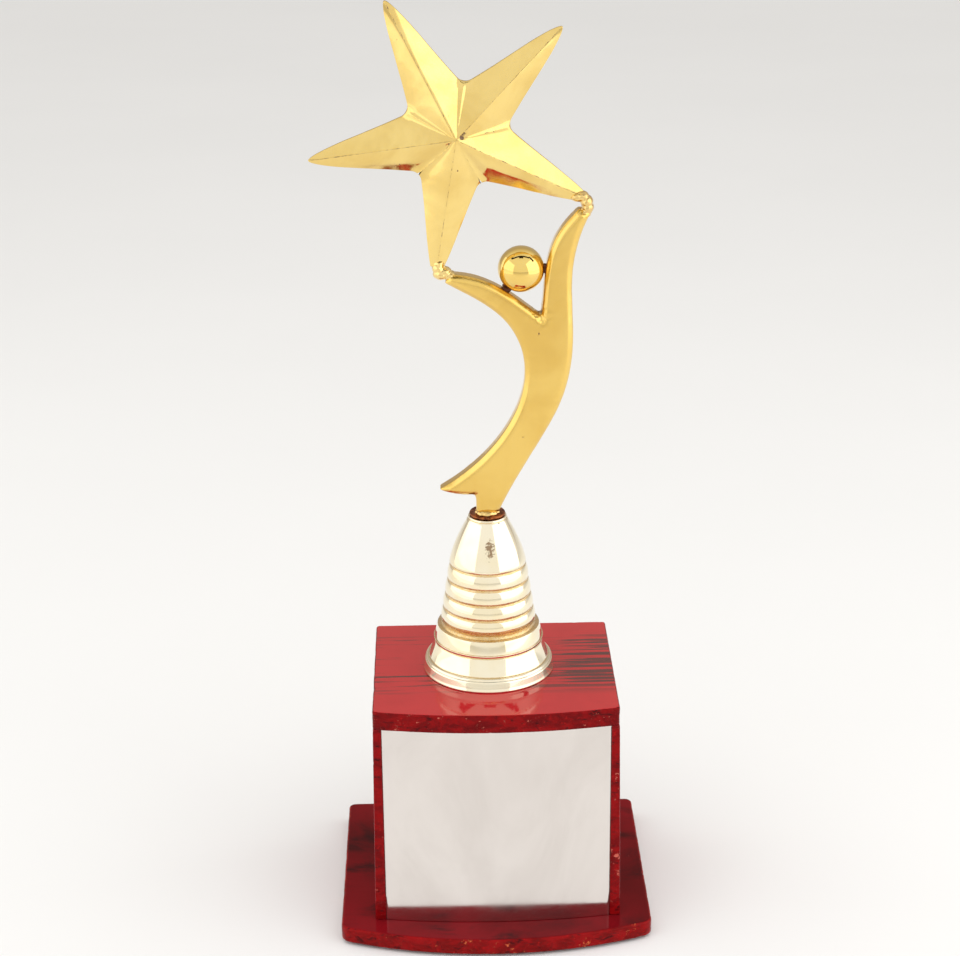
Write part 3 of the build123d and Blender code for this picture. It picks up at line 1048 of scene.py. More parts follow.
@dataclass
class Star:
    """Five-armed cast star with ridges, filleted valleys and leaf-shaped arms."""

    radius: float = 49.4
    inner_radius: float = 16.9
    relief: float = 8.0
    rim: float = 1.0
    left_tip_angle: float = -98.9
    left_trim: float = 4.2
    leaf: float = 3.8
    crown: float = 0.28
    ridge_round: float = 0.22
    valley_spread: float = 0.105
    valley_slope: float = 0.92
    valley_soft: float = 0.16
    folds: dict[tuple[int, int], Point2] = field(
        default_factory=lambda: {(1, -1): (0.34, 0.165), (4, 1): (0.62, 0.085)})
    fold_soft: float = 0.05
    fold_wave: float = 0.07
    rows: int = 68
    columns: int = 16
    ripple: float = 0.045
    # Reach in millimetres of the painted shade along the ridge lines and in the valleys.
    ridge_shade_reach: float = 0.45
    valley_shade_reach: float = 1.1
    valley_end: float = 18.0
    corner_reach: float = 2.4
    rim_swell: float = 0.22
    pit_depth: float = 0.7
    middle: Vector = field(init=False)

    def __post_init__(self) -> None:
        """Find the middle from the box of the CAD star."""
        low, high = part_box("star")
        reach = self.radius * MM
        self.middle = Vector((low.x - reach * self.arm_way(4).x, (low.y + high.y) / 2.0,
                              high.z - reach * self.arm_way(3).z))

    def arm_way(self, arm: float) -> Vector:
        """Unit vector along an arm, or along the valley after it at half an arm more."""
        return toward(self.left_tip_angle + ARM_TURN * arm)

    @property
    def notch(self) -> float:
        """Distance from the middle of the flat that closes each inner corner."""
        half = self.radius - self.corner_along
        turn = math.atan2(self.inner_radius * math.sin(HALF_ARM), half) + HALF_ARM
        return self.inner_radius + self.valley_spread * self.corner_along / math.tan(turn)

    def alongs(self, end: float) -> list[float]:
        """Distance of each row of an arm from the middle, with one row at the inner corners.

        Args:
            end: Distance in millimetres where the arm ends.

        Returns:
            The distances in millimetres.
        """
        rows = [self.radius * (1.0 - (1.0 - row / self.rows) ** 1.25) for row in range(self.rows + 1)]
        nearest = min(range(len(rows)), key=lambda row: abs(rows[row] - self.corner_along))
        rows[nearest] = self.corner_along
        return [min(end, row) for row in rows]

    @property
    def corner_along(self) -> float:
        """Distance along an arm of its inner corners."""
        return self.inner_radius * math.cos(HALF_ARM)

    def half_width(self, along: float) -> float:
        """Half width of an arm at a distance from the middle.

        Args:
            along: Distance in millimetres.

        Returns:
            The half width in millimetres.
        """
        corner = self.corner_along
        if along <= corner:
            return along * math.tan(HALF_ARM)
        share = (along - corner) / (self.radius - corner)
        straight = self.inner_radius * math.sin(HALF_ARM) * (1.0 - share)
        return straight + self.leaf * share * share * math.sqrt(max(0.0, 1.0 - share))

    def bulge(self, share: float, fold: Point2 | None) -> float:
        """How far a face stands above the plane from its ridge to its edge.

        Args:
            share: Distance from the ridge as a share of the half width.
            fold: Share and height of the line where the face folds over, or None for an even crown.

        Returns:
            The height as a share of the face's own.
        """
        if fold is None:
            return self.crown * share * (1.0 - share)
        rising, falling = share / fold[0], (1.0 - share) / (1.0 - fold[0])
        apart = math.sqrt((rising - falling) ** 2 + self.fold_soft) - math.sqrt(self.fold_soft)
        return fold[1] * (rising + falling - apart) / 2

    def height(self, along: float, across: float, fold: Point2 | None) -> float:
        """Height of the face above the rim.

        Args:
            along: Distance along the arm in millimetres.
            across: Distance from the ridge.
            fold: Where the face folds over, or None.

        Returns:
            The height in millimetres.
        """
        corner = self.corner_along
        ridge = self.relief * (1.0 - along / self.radius)
        foot = self.relief * max(0.0, 1.0 - along / corner)
        width = max(self.half_width(along), 1e-6)
        rounded = math.sqrt(across * across + self.ridge_round**2) - self.ridge_round
        share = min(rounded / width, 1.0)
        face = foot + (ridge - foot) * (1.0 - share + self.bulge(share, fold))
        aside = max(0.0, (along * math.tan(HALF_ARM) - across) * math.cos(HALF_ARM))
        inside = self.valley_spread * min(along, corner) - aside
        floor = self.valley_slope * (inside + math.sqrt(inside * inside + self.valley_soft**2)) / 2
        return face + floor * ramp(along, 0.6, 4.0)

    def wave(self, arm: int, along: float, across: float, face: float) -> float:
        """Waviness of the two folded faces at the front.

        Args:
            arm: Number of the arm.
            along: Distance along the arm in millimetres.
            across: Distance from the ridge, with its side.
            face: -1 for the front and 1 for the back.

        Returns:
            The height in millimetres.
        """
        if face > 0 or (arm, 1 if across > 0 else -1) not in self.folds:
            return 0.0
        grown = min(1.0, abs(across) / 2.5)
        return self.fold_wave * grown * noise.noise(Vector((along * 0.20, across * 0.42, arm + 0.5)))

    def side(self, work: bmesh.types.BMesh, arm: int, face: float) -> list[list[bmesh.types.BMVert]]:
        """Points of one face of one arm, in rows from the middle to the tip.

        Args:
            work: Mesh work.
            arm: Number of the arm.
            face: -1 for the front and 1 for the back.

        Returns:
            The rows.
        """
        end = self.radius - (self.left_trim if arm == 0 else 0.0)
        outward = self.arm_way(arm)
        sideways = Vector((-outward.z, 0.0, outward.x))
        rows = []
        for along in self.alongs(end):
            width = self.half_width(along)
            line = []
            for column in range(-self.columns, self.columns + 1):
                side = 1 if column > 0 else -1
                share = side * (0.5 - 0.5 * math.cos(math.pi * abs(column) / self.columns))
                across = width * share
                rise = self.rim / 2 + self.height(along, abs(across), self.folds.get((arm, side)))
                rise += self.wave(arm, along, across, face)
                place = outward * along + sideways * across + Vector((0.0, face * rise, 0.0))
                if abs(column) == self.columns and along >= self.corner_along - 1e-6:
                    short = self.notch - (along * math.cos(HALF_ARM) + abs(across) * math.sin(HALF_ARM))
                    valley = outward * math.cos(HALF_ARM) + sideways * side * math.sin(HALF_ARM)
                    place += valley * max(0.0, short)
                line.append(work.verts.new(self.middle + place * MM))
            rows.append(line)
        for before, after in zip(rows, rows[1:]):
            for column in range(2 * self.columns):
                work.faces.new((before[column], before[column + 1], after[column + 1], after[column]))
        return rows

    def wall(self, work: bmesh.types.BMesh, front: Sequence[bmesh.types.BMVert],
             back: Sequence[bmesh.types.BMVert]) -> None:
        """Rounded rim between a front edge and a back edge.

        Args:
            work: Mesh work.
            front: Points of the front edge.
            back: Points of the back edge, in the same order.
        """
        lines = [list(front)]
        for level in (0.25, 0.5, 0.75):
            swell = self.rim_swell * MM * math.sin(math.pi * level)
            line = []
            for first, second in zip(front, back):
                spot = first.co.lerp(second.co, level)
                out = spot - self.middle
                out.y = 0.0
                line.append(work.verts.new(spot + out.normalized() * swell))
            lines.append(line)
        lines.append(list(back))
        for upper, lower in zip(lines, lines[1:]):
            for number in range(len(front) - 1):
                work.faces.new((upper[number], upper[number + 1], lower[number + 1], lower[number]))

    def make(self) -> None:
        """Build the star and dress it."""
        work = bmesh.new()
        for arm in range(5):
            front = self.side(work, arm, -1.0)
            back = self.side(work, arm, 1.0)
            first = next(row for row in range(self.rows)
                         if self.along_of(front[row]) >= self.corner_along - 1e-3)
            for column in (0, -1):
                edges = [[line[column] for line in rows[first:]] for rows in (front, back)]
                self.wall(work, *edges)
            self.wall(work, front[-1], back[-1])
        bmesh.ops.remove_doubles(work, verts=work.verts, dist=2e-6)
        bmesh.ops.dissolve_degenerate(work, edges=work.edges, dist=1e-6)
        soft = [vert for vert in work.verts if self.corner_gap(vert.co) < self.corner_reach * MM]
        for _ in range(3):
            bmesh.ops.smooth_vert(work, verts=soft, factor=0.5, use_axis_x=True, use_axis_y=True,
                                  use_axis_z=True)
        mesh = mesh_from(work, "cast_star")
        push(mesh, lambda at, normal: noise.fractal(at * 130.0, 0.6, 2.0, 2) * self.ripple * MM)
        self.pit(mesh)
        # Brown at the brazed tips and round the pits, and painted shade along the valleys and ridge lines.
        paint(mesh, "burn_and_shade", self.burn_and_shade)
        part(mesh, "cast_star", POLISHED_GILT, ["star"])

    def flat(self, at: Vector) -> Vector:
        """Offset of a point from the middle, without its depth."""
        return Vector((at.x - self.middle.x, 0.0, at.z - self.middle.z))

    def along_of(self, line: Sequence[bmesh.types.BMVert]) -> float:
        """Distance of a row from the middle, in millimetres."""
        return self.flat(line[self.columns].co).length / MM

    def corner_gap(self, at: Vector) -> float:
        """Distance of a point from the nearest inner corner, in metres."""
        gaps = []
        for arm in range(5):
            corner = self.arm_way(arm + 0.5) * self.notch * MM
            gaps.append((self.flat(at) - corner).length)
        return min(gaps)

    def pits(self) -> list[tuple[Vector, float]]:
        """Middle and reach of the casting pits round the middle of the star."""
        places = ((24.0, 2.0, 1.0), (38.0, 3.2, 0.9), (214.0, 2.6, 0.7), (222.0, 4.6, 0.4), (150.0, 1.6, 0.5))
        return [(self.middle + toward(turn) * out * MM, reach * MM) for turn, out, reach in places]

    def pit(self, mesh: bpy.types.Mesh) -> None:
        """Sink the pits round the middle.

        Args:
            mesh: Mesh of the star.
        """
        pits = self.pits()

        def depth(at: Vector, normal: Vector) -> float:
            """Depth of the pits at a point."""
            level = Vector((at.x, self.middle.y, at.z))
            sunk = self.pit_depth * MM * ramp(near(level, pits), 0.1, 0.8)
            return -sunk if at.y < self.middle.y else 0.0

        push(mesh, depth)

    def burn_and_shade(self, at: Vector) -> float:
        """How brown the plate is at a point: round the pits and at the brazed tips, and as painted shade
        along the valleys and the ridge lines.
        """
        level = Vector((at.x, self.middle.y, at.z))
        front = at.y < self.middle.y
        pits = near(level, [(spot, reach * 1.5) for spot, reach in self.pits()]) if front else 0.0
        tips = 0.0
        for arm in (0, 1):
            tip = self.middle + self.arm_way(arm) * self.radius * MM
            tips = max(tips, near(level, [(tip, 9.0 * MM)]))
        # Painted shade along the valleys and ridge lines, beside the heat browning at the tips and the
        # browning round the pits.
        return max(pits * 1.1, tips * 0.55, 0.46 * self.valley(at), 0.60 * self.ridge(at))

    def beside(self, at: Vector, first: float) -> Point2:
        """Where a point lies against five lines that run out from the middle.

        Args:
            at: Point in metres.
            first: Angle of the first line in degrees.

        Returns:
            Distances in millimetres from the middle and from the nearest line.
        """
        flat = self.flat(at) / MM
        angle = (math.degrees(math.atan2(flat.z, flat.x)) - first) % ARM_TURN
        return flat.length, math.radians(min(angle, ARM_TURN - angle)) * flat.length

    def ridge(self, at: Vector) -> float:
        """How near a point is to the line of a ridge, from 0 to 1."""
        off = self.beside(at, self.left_tip_angle)[1]
        return max(0.0, 1.0 - off / self.ridge_shade_reach)

    def valley(self, at: Vector) -> float:
        """How near a point is to the bottom of a valley, from 0 to 1."""
        out, off = self.beside(at, self.left_tip_angle + ARM_TURN / 2)
        if out >= self.valley_end:
            return 0.0
        return max(0.0, 1.0 - off / self.valley_shade_reach) * ramp(out, 2.0, 6.0)


@dataclass
class Figure:
    """Flat cast figure: a leg with a pointed tail and two raised arms, its edges rolled over."""

    voxel: float = 0.42
    roll: int = 14
    crotch_right: float = 18.9
    crotch_up: float = 71.7
    ripple: float = 0.05
    lump: float = 0.45
    crotch_lump: float = 6.5
    hand_lump: float = 7.0
    crotch_burn: float = 5.5
    hand_burn: float = 8.0

    def crotch(self) -> Vector:
        """Where the two arms part, in metres."""
        axis = centre_of(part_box("bell"))
        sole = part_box("figure_body")[0].z
        return Vector((axis.x + self.crotch_right * MM, axis.y, sole + self.crotch_up * MM))

    def make(self) -> None:
        """Build the figure and dress it."""
        mesh = rounded_solid(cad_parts["figure_body"].data.copy(), self.voxel, self.roll)
        mesh.name = "cast_figure"
        crotch = self.crotch()
        hands = [centre_of(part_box("left_hand_braze")), centre_of(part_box("right_hand_braze"))]
        joints = [(crotch, self.crotch_lump * MM), *((hand, self.hand_lump * MM) for hand in hands)]

        def lumps(at: Vector, normal: Vector) -> float:
            """Casting ripple, with braze lumps where the arms part and at the hands."""
            wave = noise.fractal(at * 110.0, 0.6, 2.0, 2) * self.ripple
            rough = noise.fractal(at * 620.0, 0.7, 2.1, 3) * self.lump
            return (wave + near(at, joints) * rough) * MM

        push(mesh, lumps)
        burnt = [(crotch + Vector((0.0, 0.0, 1.0)) * MM, self.crotch_burn * MM),
                 *((hand, self.hand_burn * MM) for hand in hands)]
        paint(mesh, "burn_and_shade", lambda at: 0.75 * near(at, burnt))
        part(mesh, "cast_figure", SATIN_GILT, ["figure_body"])


@dataclass
class HeadBall:
    """Mirror-polished ball, not quite true."""

    cuts: int = 36
    out_of_true: float = 0.05

    def make(self) -> None:
        """Build the ball and dress it."""
        low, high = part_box("head_ball")
        middle = centre_of((low, high))
        radius = (high.z - low.z) / 2.0
        work = bmesh.new()
        bmesh.ops.create_cube(work, size=2.0)
        bmesh.ops.subdivide_edges(work, edges=work.edges, cuts=self.cuts, use_grid_fill=True)
        for vert in work.verts:
            turned = Vector([math.tan(axis * math.pi / 4.0) for axis in vert.co]).normalized()
            lump = 1.0 + self.out_of_true * MM / radius * noise.noise(turned * 1.6)
            vert.co = middle + turned * radius * lump
        mesh = mesh_from(work, "polished_ball")
        beads = [(centre_of(box), 3.0 * MM) for box in loose_boxes("head_braze_beads")]
        paint(mesh, "burn_and_shade", lambda at: 0.9 * near(at, beads))
        part(mesh, "polished_ball", MIRROR_GILT, ["head_ball"])


@dataclass
class Brazes:
    """Lumps of braze that hold the ball, the star and the foot.

    Each bead of a hand's lump is its offset from the middle and its half sizes, in millimetres.
    """

    left_beads: tuple[tuple[Colour, Colour], ...] = (
        ((0.0, 0.0, -0.4), (2.9, 3.4, 2.3)), ((1.4, -0.4, 0.3), (2.1, 2.8, 1.8)),
        ((-0.9, 0.0, 1.5), (2.3, 2.9, 2.3)), ((2.9, 0.0, -1.1), (2.4, 3.2, 1.7)),
        ((-0.6, 0.0, 2.8), (1.9, 2.4, 1.8)))
    right_beads: tuple[tuple[Colour, Colour], ...] = (
        ((-1.6, 0.0, 2.7), (2.6, 2.9, 1.9)), ((0.1, -0.2, 1.0), (2.2, 3.0, 2.2)),
        ((0.4, 0.0, -1.2), (2.1, 3.0, 2.4)), ((-3.0, 0.0, 2.4), (2.4, 2.5, 1.7)),
        ((-0.7, 0.0, -3.2), (2.3, 3.2, 2.0)))
    foot_half: Point2 = (3.1, 3.9)

    def make(self) -> None:
        """Build the lumps and dress them."""
        self.hand("left", self.left_beads, 3.0, 0.35)
        self.hand("right", self.right_beads, 7.0, 0.38)
        self.head()
        self.foot()

    def hand(self, side: str, beads: Sequence[tuple[Colour, Colour]], seed: float, burn_and_shade: float) -> None:
        """Lump between a tip of the star and a hand.

        Args:
            side: "left" or "right".
            beads: Offset and half sizes of each bead in millimetres.
            seed: Shift of the unevenness.
            burn_and_shade: How brown the lump is.
        """
        node, name = f"{side}_hand_braze", f"{side}_hand_lump"
        middle = centre_of(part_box(node))
        mesh = fused([(middle + Vector(step) * MM, half) for step, half in beads], name, seed=seed)
        paint(mesh, "burn_and_shade", lambda at: burn_and_shade)
        part(mesh, name, GILT_BRAZE, [node])

    def head(self) -> None:
        """Burnt beads between the ball and the two arms."""
        spots = []
        for low, high in loose_boxes("head_braze_beads"):
            middle, half = (low + high) / 2.0, (high - low) / 2.0 / MM
            spots += [(middle + Vector((0.0, side * 0.9, side * 0.5)) * MM,
                       (half.x + 0.35, half.y * 0.75, half.z * 0.85)) for side in (-1, 0, 1)]
        mesh = fused(spots, "head_beads", voxel=0.2, passes=2, rough=0.2)
        paint(mesh, "burn_and_shade", lambda at: 0.6)
        part(mesh, "head_beads", BROWN_BRAZE, ["head_braze_beads"])

    def foot(self) -> None:
        """Collar of braze round the foot, with a larger run in front."""
        low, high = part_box("foot_braze")
        middle = centre_of((low, high))
        draw = random.Random(11)
        spots = []
        for turn in range(0, 360, 30):
            angle = math.radians(turn)
            front = max(0.0, -math.sin(angle))
            size = draw.uniform(0.8, 1.1) + 0.5 * front
            spot = Vector((math.cos(angle) * self.foot_half[0], math.sin(angle) * self.foot_half[1],
                           -0.45 + 0.2 * draw.random()))
            spots.append((middle + spot * MM, (size * 1.5, size * 1.1, size * 0.9)))
        mesh = fused(spots, "foot_lump", seed=5.0)
        for vert in mesh.vertices:
            vert.co.z = max(vert.co.z, low.z)
        paint(mesh, "burn_and_shade", lambda at: 0.30)
        part(mesh, "foot_lump", GILT_BRAZE, ["foot_braze"])


@dataclass
class Bell:
    """Moulded bell: flared foot, collar, rough waist, ringed cone and dome, hollow underneath."""

    rim_radius: float = 23.5
    rim_top_radius: float = 22.5
    rim_height: float = 5.0
    rim_round: float = 0.9
    flare_foot_radius: float = 21.4
    flare_height: float = 6.2
    flare_sag: float = 0.12
    neck_radius: float = 19.2
    collar_radius: float = 19.6
    collar_height: float = 1.3
    band_top_radius: float = 18.2
    band_height: float = 4.8
    waist_radius: float = 16.6
    waist_height: float = 2.4
    cone_foot_radius: float = 16.9
    cone_top_radius: float = 13.65
    ring_heights: tuple[float, ...] = (4.6, 5.3, 5.5, 5.7)
    ring_bulge: float = 0.36
    groove_width: float = 1.15
    groove_depth: float = 0.5
    dome_height: float = 16.8
    dome_top_radius: float = 7.0
    dome_bulge: float = 0.7
    lip_radius: float = 6.6
    lip_height: float = 1.0
    wall: float = 1.8
    roof: float = 2.2
    shoulder: float = 3.2
    foot_wall: float = 1.4
    mark_right: float = 0.5
    mark_climb: float = 0.52

    def outside(self) -> list[tuple[float, float, float]]:
        """Outer profile from the foot up: radius, height, and how much brown painted groove shade it gets."""
        points: list[tuple[float, float, float]] = [(self.rim_radius - 0.5, 0.0, 0.3)]
        points += self.arc(self.rim_radius - 0.5, 0.5, 0.5, -90, 0, 5)
        for step in range(1, 6):
            share = step / 6
            points.append((self.rim_radius + (self.rim_top_radius - self.rim_radius) * share,
                           self.rim_height * share, 0.0))
        round_in = self.rim_round
        points += self.arc(self.rim_top_radius - round_in, self.rim_height - round_in, round_in, 0, 90, 7)
        points.append((self.flare_foot_radius + 0.15, self.rim_height - 0.05, 0.8))
        for step in range(0, 17):
            share = step / 16
            sag = math.sin(math.pi * share) * self.flare_sag
            radius = self.flare_foot_radius + (self.neck_radius - self.flare_foot_radius) * share - sag
            shade = 0.9 if step == 0 else 0.0
            points.append((radius, self.rim_height + 0.05 + self.flare_height * share, shade))
        top = self.rim_height + self.flare_height
        points.append((self.neck_radius, top, 0.7))
        points += self.bulged(self.neck_radius + 0.05, self.collar_radius, top + 0.05, self.collar_height,
                              0.18, 8)
        top += self.collar_height
        points.append((self.neck_radius + 0.02, top, 0.7))
        points += self.bulged(self.neck_radius, self.band_top_radius, top + 0.1, self.band_height - 0.1,
                              0.08, 12)
        top += self.band_height
        points.append((self.waist_radius + 0.5, top + 0.15, 1.0))
        for step in range(7):
            share = step / 6
            hollow = 0.3 * math.sin(math.pi * share)
            climb = 0.3 + (self.waist_height - 0.5) * share
            points.append((self.waist_radius + 0.2 - hollow, top + climb, 1.0))
        top += self.waist_height
        points += self.rings(top)
        return points

    def rings(self, top: float) -> list[tuple[float, float, float]]:
        """Profile from the waist up: the ringed cone, the dome and the lip.

        Args:
            top: Height of the waist's top.

        Returns:
            Radius, height and groove share of each point.
        """
        points = []
        whole = sum(self.ring_heights)
        height = 0.0
        for ring in self.ring_heights:
            foot = self.cone_radius(height / whole)
            head = self.cone_radius((height + ring) / whole)
            points += self.bulged(foot, head, top + height + self.groove_width / 2,
                                  ring - self.groove_width, self.ring_bulge, 12)
            height += ring
            points += [(head - self.groove_depth * 0.7, top + height - self.groove_width * 0.25, 0.9),
                       (head - self.groove_depth, top + height, 1.0),
                       (head - self.groove_depth * 0.7, top + height + self.groove_width * 0.25, 0.9)]
        top += whole
        start = self.groove_width / 2
        for step in range(0, 25):
            share = step / 24
            climb = start + (self.dome_height - start) * share
            chord = self.cone_top_radius + (self.dome_top_radius - self.cone_top_radius) * share
            swell = self.dome_bulge * math.sin(math.pi * share ** 0.85)
            points.append((chord + swell, top + climb, 0.0))
        top += self.dome_height
        points += [(self.dome_top_radius - 0.12, top + 0.08, 0.9), (self.lip_radius + 0.15, top + 0.22, 0.8)]
        points += self.arc(self.lip_radius - 0.15, top + self.lip_height - 0.35, 0.35, 0, 90, 5)
        return points

    def cone_radius(self, share: float) -> float:
        """Radius of the cone at a share of its height."""
        return self.cone_foot_radius + (self.cone_top_radius - self.cone_foot_radius) * share

    @staticmethod
    def arc(radius: float, height: float, size: float, start: float, end: float,
            steps: int) -> list[tuple[float, float, float]]:
        """Points of a rounded corner.

        Args:
            radius: Radius of the arc's middle.
            height: Height of the arc's middle.
            size: Radius of the arc.
            start: First angle in degrees.
            end: Last angle in degrees.
            steps: Steps between them.

        Returns:
            Radius, height and groove share of each point.
        """
        turns = [math.radians(start + (end - start) * step / steps) for step in range(steps + 1)]
        return [(radius + size * math.cos(turn), height + size * math.sin(turn), 0.0) for turn in turns]

    @staticmethod
    def bulged(foot: float, head: float, height: float, climb: float, bulge: float,
               steps: int) -> list[tuple[float, float, float]]:
        """Points of a band whose middle swells and whose ends roll in.

        Args:
            foot: Radius at its foot.
            head: Radius at its head.
            height: Height of its foot.
            climb: How tall it is.
            bulge: How far it swells.
            steps: Steps from foot to head.

        Returns:
            Radius, height and groove share of each point.
        """
        points = []
        for step in range(steps + 1):
            share = 0.5 - 0.5 * math.cos(math.pi * step / steps)
            swell = bulge * (math.sin(math.pi * share) ** 0.5)
            shade = 0.9 if step in (0, steps) else 0.0
            points.append((foot + (head - foot) * share + swell - bulge * 0.6, height + climb * share, shade))
        return points

    def make(self) -> None:
        """Build the bell and dress it."""
        low, high = box_mm("bell")
        axis = foot_of("bell")
        skin = self.outside()
        tall = high.z - low.z
        inner = [(ROD_HOLE, tall), (ROD_HOLE, tall - self.roof),
                 (self.dome_top_radius - self.wall, tall - self.shoulder),
                 (self.cone_top_radius - self.wall, tall - self.dome_height - self.lip_height),
                 (self.waist_radius - self.wall, self.rim_height + self.flare_height + self.collar_height),
                 (self.rim_radius - self.wall - self.foot_wall, self.rim_height),
                 (self.rim_radius - self.wall, 0.0)]
        mesh = lathe([(radius, height) for radius, height, _ in skin] + inner, axis, "moulded_bell")
        shades = sorted((height, shade) for _, height, shade in skin)

        def groove(at: Vector) -> float:
            """Painted groove shade share of the profile point at a height."""
            height = (at.z - axis.z) / MM
            return min(shades, key=lambda item: abs(item[0] - height))[1]

        # Painted shade share for the grooves, the waist and the rolled ends of the bands.
        paint(mesh, "groove", groove)
        climb = self.mark_climb * self.dome_height
        mark_radius = self.cone_top_radius + (self.dome_top_radius - self.cone_top_radius) * self.mark_climb
        mark = axis + Vector((self.mark_right, -(mark_radius + self.dome_bulge),
                              tall - self.lip_height - self.dome_height + climb)) * MM
        part(mesh, "moulded_bell", Metallised("pale_metallised", mark_at=tuple(mark)), ["bell"])


@dataclass
class Washer:
    """Burnt copper washer between the bell and the foot, its edge rolled and slightly dented."""

    roll: float = 0.5
    undercut: float = 0.7

    def make(self) -> None:
        """Build the washer and dress it."""
        low, high = box_mm("foot_washer")
        radius = (high.x - low.x) / 2
        thick = high.z - low.z
        roll = min(self.roll, thick / 2 - 0.02)
        section = [(ROD_HOLE, 0.0), (radius - self.undercut - 0.3, 0.0), (radius - self.undercut, 0.22)]
        section += [(radius - roll + roll * math.cos(turn), thick - roll + roll * math.sin(turn))
                    for turn in (math.radians(-60 + 15 * step) for step in range(11))]
        section.append((ROD_HOLE, thick))
        axis = foot_of("foot_washer")
        mesh = lathe(section, axis, "burnt_washer", 96)
        for vert in mesh.vertices:
            dent = noise.noise(vert.co * 330.0) * 0.14 * MM
            out = Vector((vert.co.x - axis.x, vert.co.y - axis.y, 0.0)).normalized()
            vert.co += out * (dent - 0.1 * MM)
        part(mesh, "burnt_washer", Oxide("oxidised_copper"), ["foot_washer"])


@dataclass
class Block:
    """Hollow block of lacquered boards on a bowed base board."""

    top_bow: float = 4.5
    top_corner: float = 1.2
    top_edge: float = 0.7
    side_flare: float = 1.0
    band: float = 0.35
    side_edge: float = 0.3
    side_band: float = 0.12
    side_corner: float = 0.5
    base_bow: float = 10.7
    base_corner: float = 2.6
    base_edge: float = 0.9
    step: float = 0.9

    def bowed(self, node: str, bow: float, corner: float) -> list[Point2]:
        """Outline of a board whose front edge bows out at its middle.

        Args:
            node: CAD node that gives its box.
            bow: How far the front bows out.
            corner: Radius of its corners.

        Returns:
            The points in millimetres, counter-clockwise.
        """
        low, high = box_mm(node)
        front = low.y + bow
        half = (high.x - low.x) / 2
        middle_x = (low.x + high.x) / 2
        straight = path([(low.x, high.y, corner), (low.x, front, corner), (high.x, front, corner),
                         (high.x, high.y, corner)], self.step)
        points = []
        for x, y in straight:
            off = min(abs(x - middle_x), half)
            weight = ramp(y, front + corner + 1.5, front)
            points.append((x, y - (bow - drop(off, half, bow)) * weight))
        return points

    def make(self) -> None:
        """Build the boards and dress them."""
        self.level_board("top", self.top_bow, self.top_corner, self.top_edge, TOP_LACQUER, TOP_EDGE)
        self.level_board("base", self.base_bow, self.base_corner, self.base_edge, BASE_LACQUER, BASE_EDGE)
        for side, outer in (("left", 0), ("right", 1)):
            self.side_board(side, outer)

    def level_board(self, board: str, bow: float, corner: float, edge: float, finish: Finish,
                    edge_finish: Finish) -> None:
        """Build the top or base board and dress it.

        Args:
            board: "top" or "base".
            bow: How far its front bows out.
            corner: Radius of its corners.
            edge: Radius of its edges.
            finish: Finish of its faces.
            edge_finish: Finish of its sawn edges.
        """
        node, name = f"{board}_board", f"lacquered_{board}"
        low, high = box_mm(node)
        mesh = slab(self.bowed(node, bow, corner), low.z, high.z, edge, self.band, Way.UP, name, Wear())
        even_normals(part(mesh, name, finish, [node], edge_finish))

    def side_board(self, side: str, outer: int) -> None:
        """Build one side board and dress it.

        Args:
            side: "left" or "right".
            outer: 0 where the outer face is at the low end of X, 1 at the high end.
        """
        node, name = f"{side}_side_board", f"lacquered_{side}_side"
        low, high = box_mm(node)
        inner_x = high.x if outer == 0 else low.x
        foot_x = low.x if outer == 0 else high.x
        head_x = foot_x + (self.side_flare if outer == 0 else -self.side_flare)
        turn = self.side_corner
        corners = [(foot_x, low.z, turn), (inner_x, low.z, turn), (inner_x, high.z, turn),
                   (head_x, high.z, turn)]
        if outer == 1:
            corners = [(x, z, radius) for x, z, radius in reversed(corners)]
        board = slab(path(corners, self.step), low.y, high.y, self.side_edge, self.side_band, Way.BACK, name,
                     Wear(0.06, 0.2))
        even_normals(part(board, name, SIDE_EDGE, [node], SIDE_LACQUER))


@dataclass
class Plate:
    """Bowed mirror sheet on the front of the block."""

    bow: float = 3.0
    edge: float = 0.12
    columns: int = 96

    def make(self) -> None:
        """Build the plate and dress it."""
        low, high = box_mm("engraving_plate")
        half = (high.x - low.x) / 2
        middle_x = (low.x + high.x) / 2
        thick = high.y - low.y - self.bow
        offs = [half * (2 * column / self.columns - 1) for column in range(self.columns + 1)]
        front = [(middle_x + off, low.y + drop(off, half, self.bow)) for off in offs]
        back = [(x, y + thick) for x, y in reversed(front)]
        mesh = slab(front + back, low.z, high.z, self.edge, self.edge / 2, Way.UP, "mirror_front", rings=2)
        even_normals(part(mesh, "mirror_front", MirrorSheet("mirror_plate"), ["engraving_plate"]))


@dataclass
class HiddenParts:
    """CAD pieces whose shape stays, each in its own finish."""

    finishes: dict[str, Finish] = field(default_factory=lambda: {
        "tie_rod": PLATED_STEEL, "rod_washer": PLATED_STEEL, "rod_nut": PLATED_STEEL,
        "base_screws": SCREW_STEEL, "front_board": FIBREBOARD, "back_board": SIDE_LACQUER,
        "corner_battens": SOFTWOOD, "plate_tape": FOAM_TAPE, "base_felt": BLACK_FELT})

    def make(self) -> None:
        """Dress the pieces."""
        for name, finish in self.finishes.items():
            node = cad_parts[name]
            for place in node.material_slots:
                place.material = finish.make()
            log.info("%s: kept, in %s", name, finish.name)


# ---------------------------------------------------------------- studio


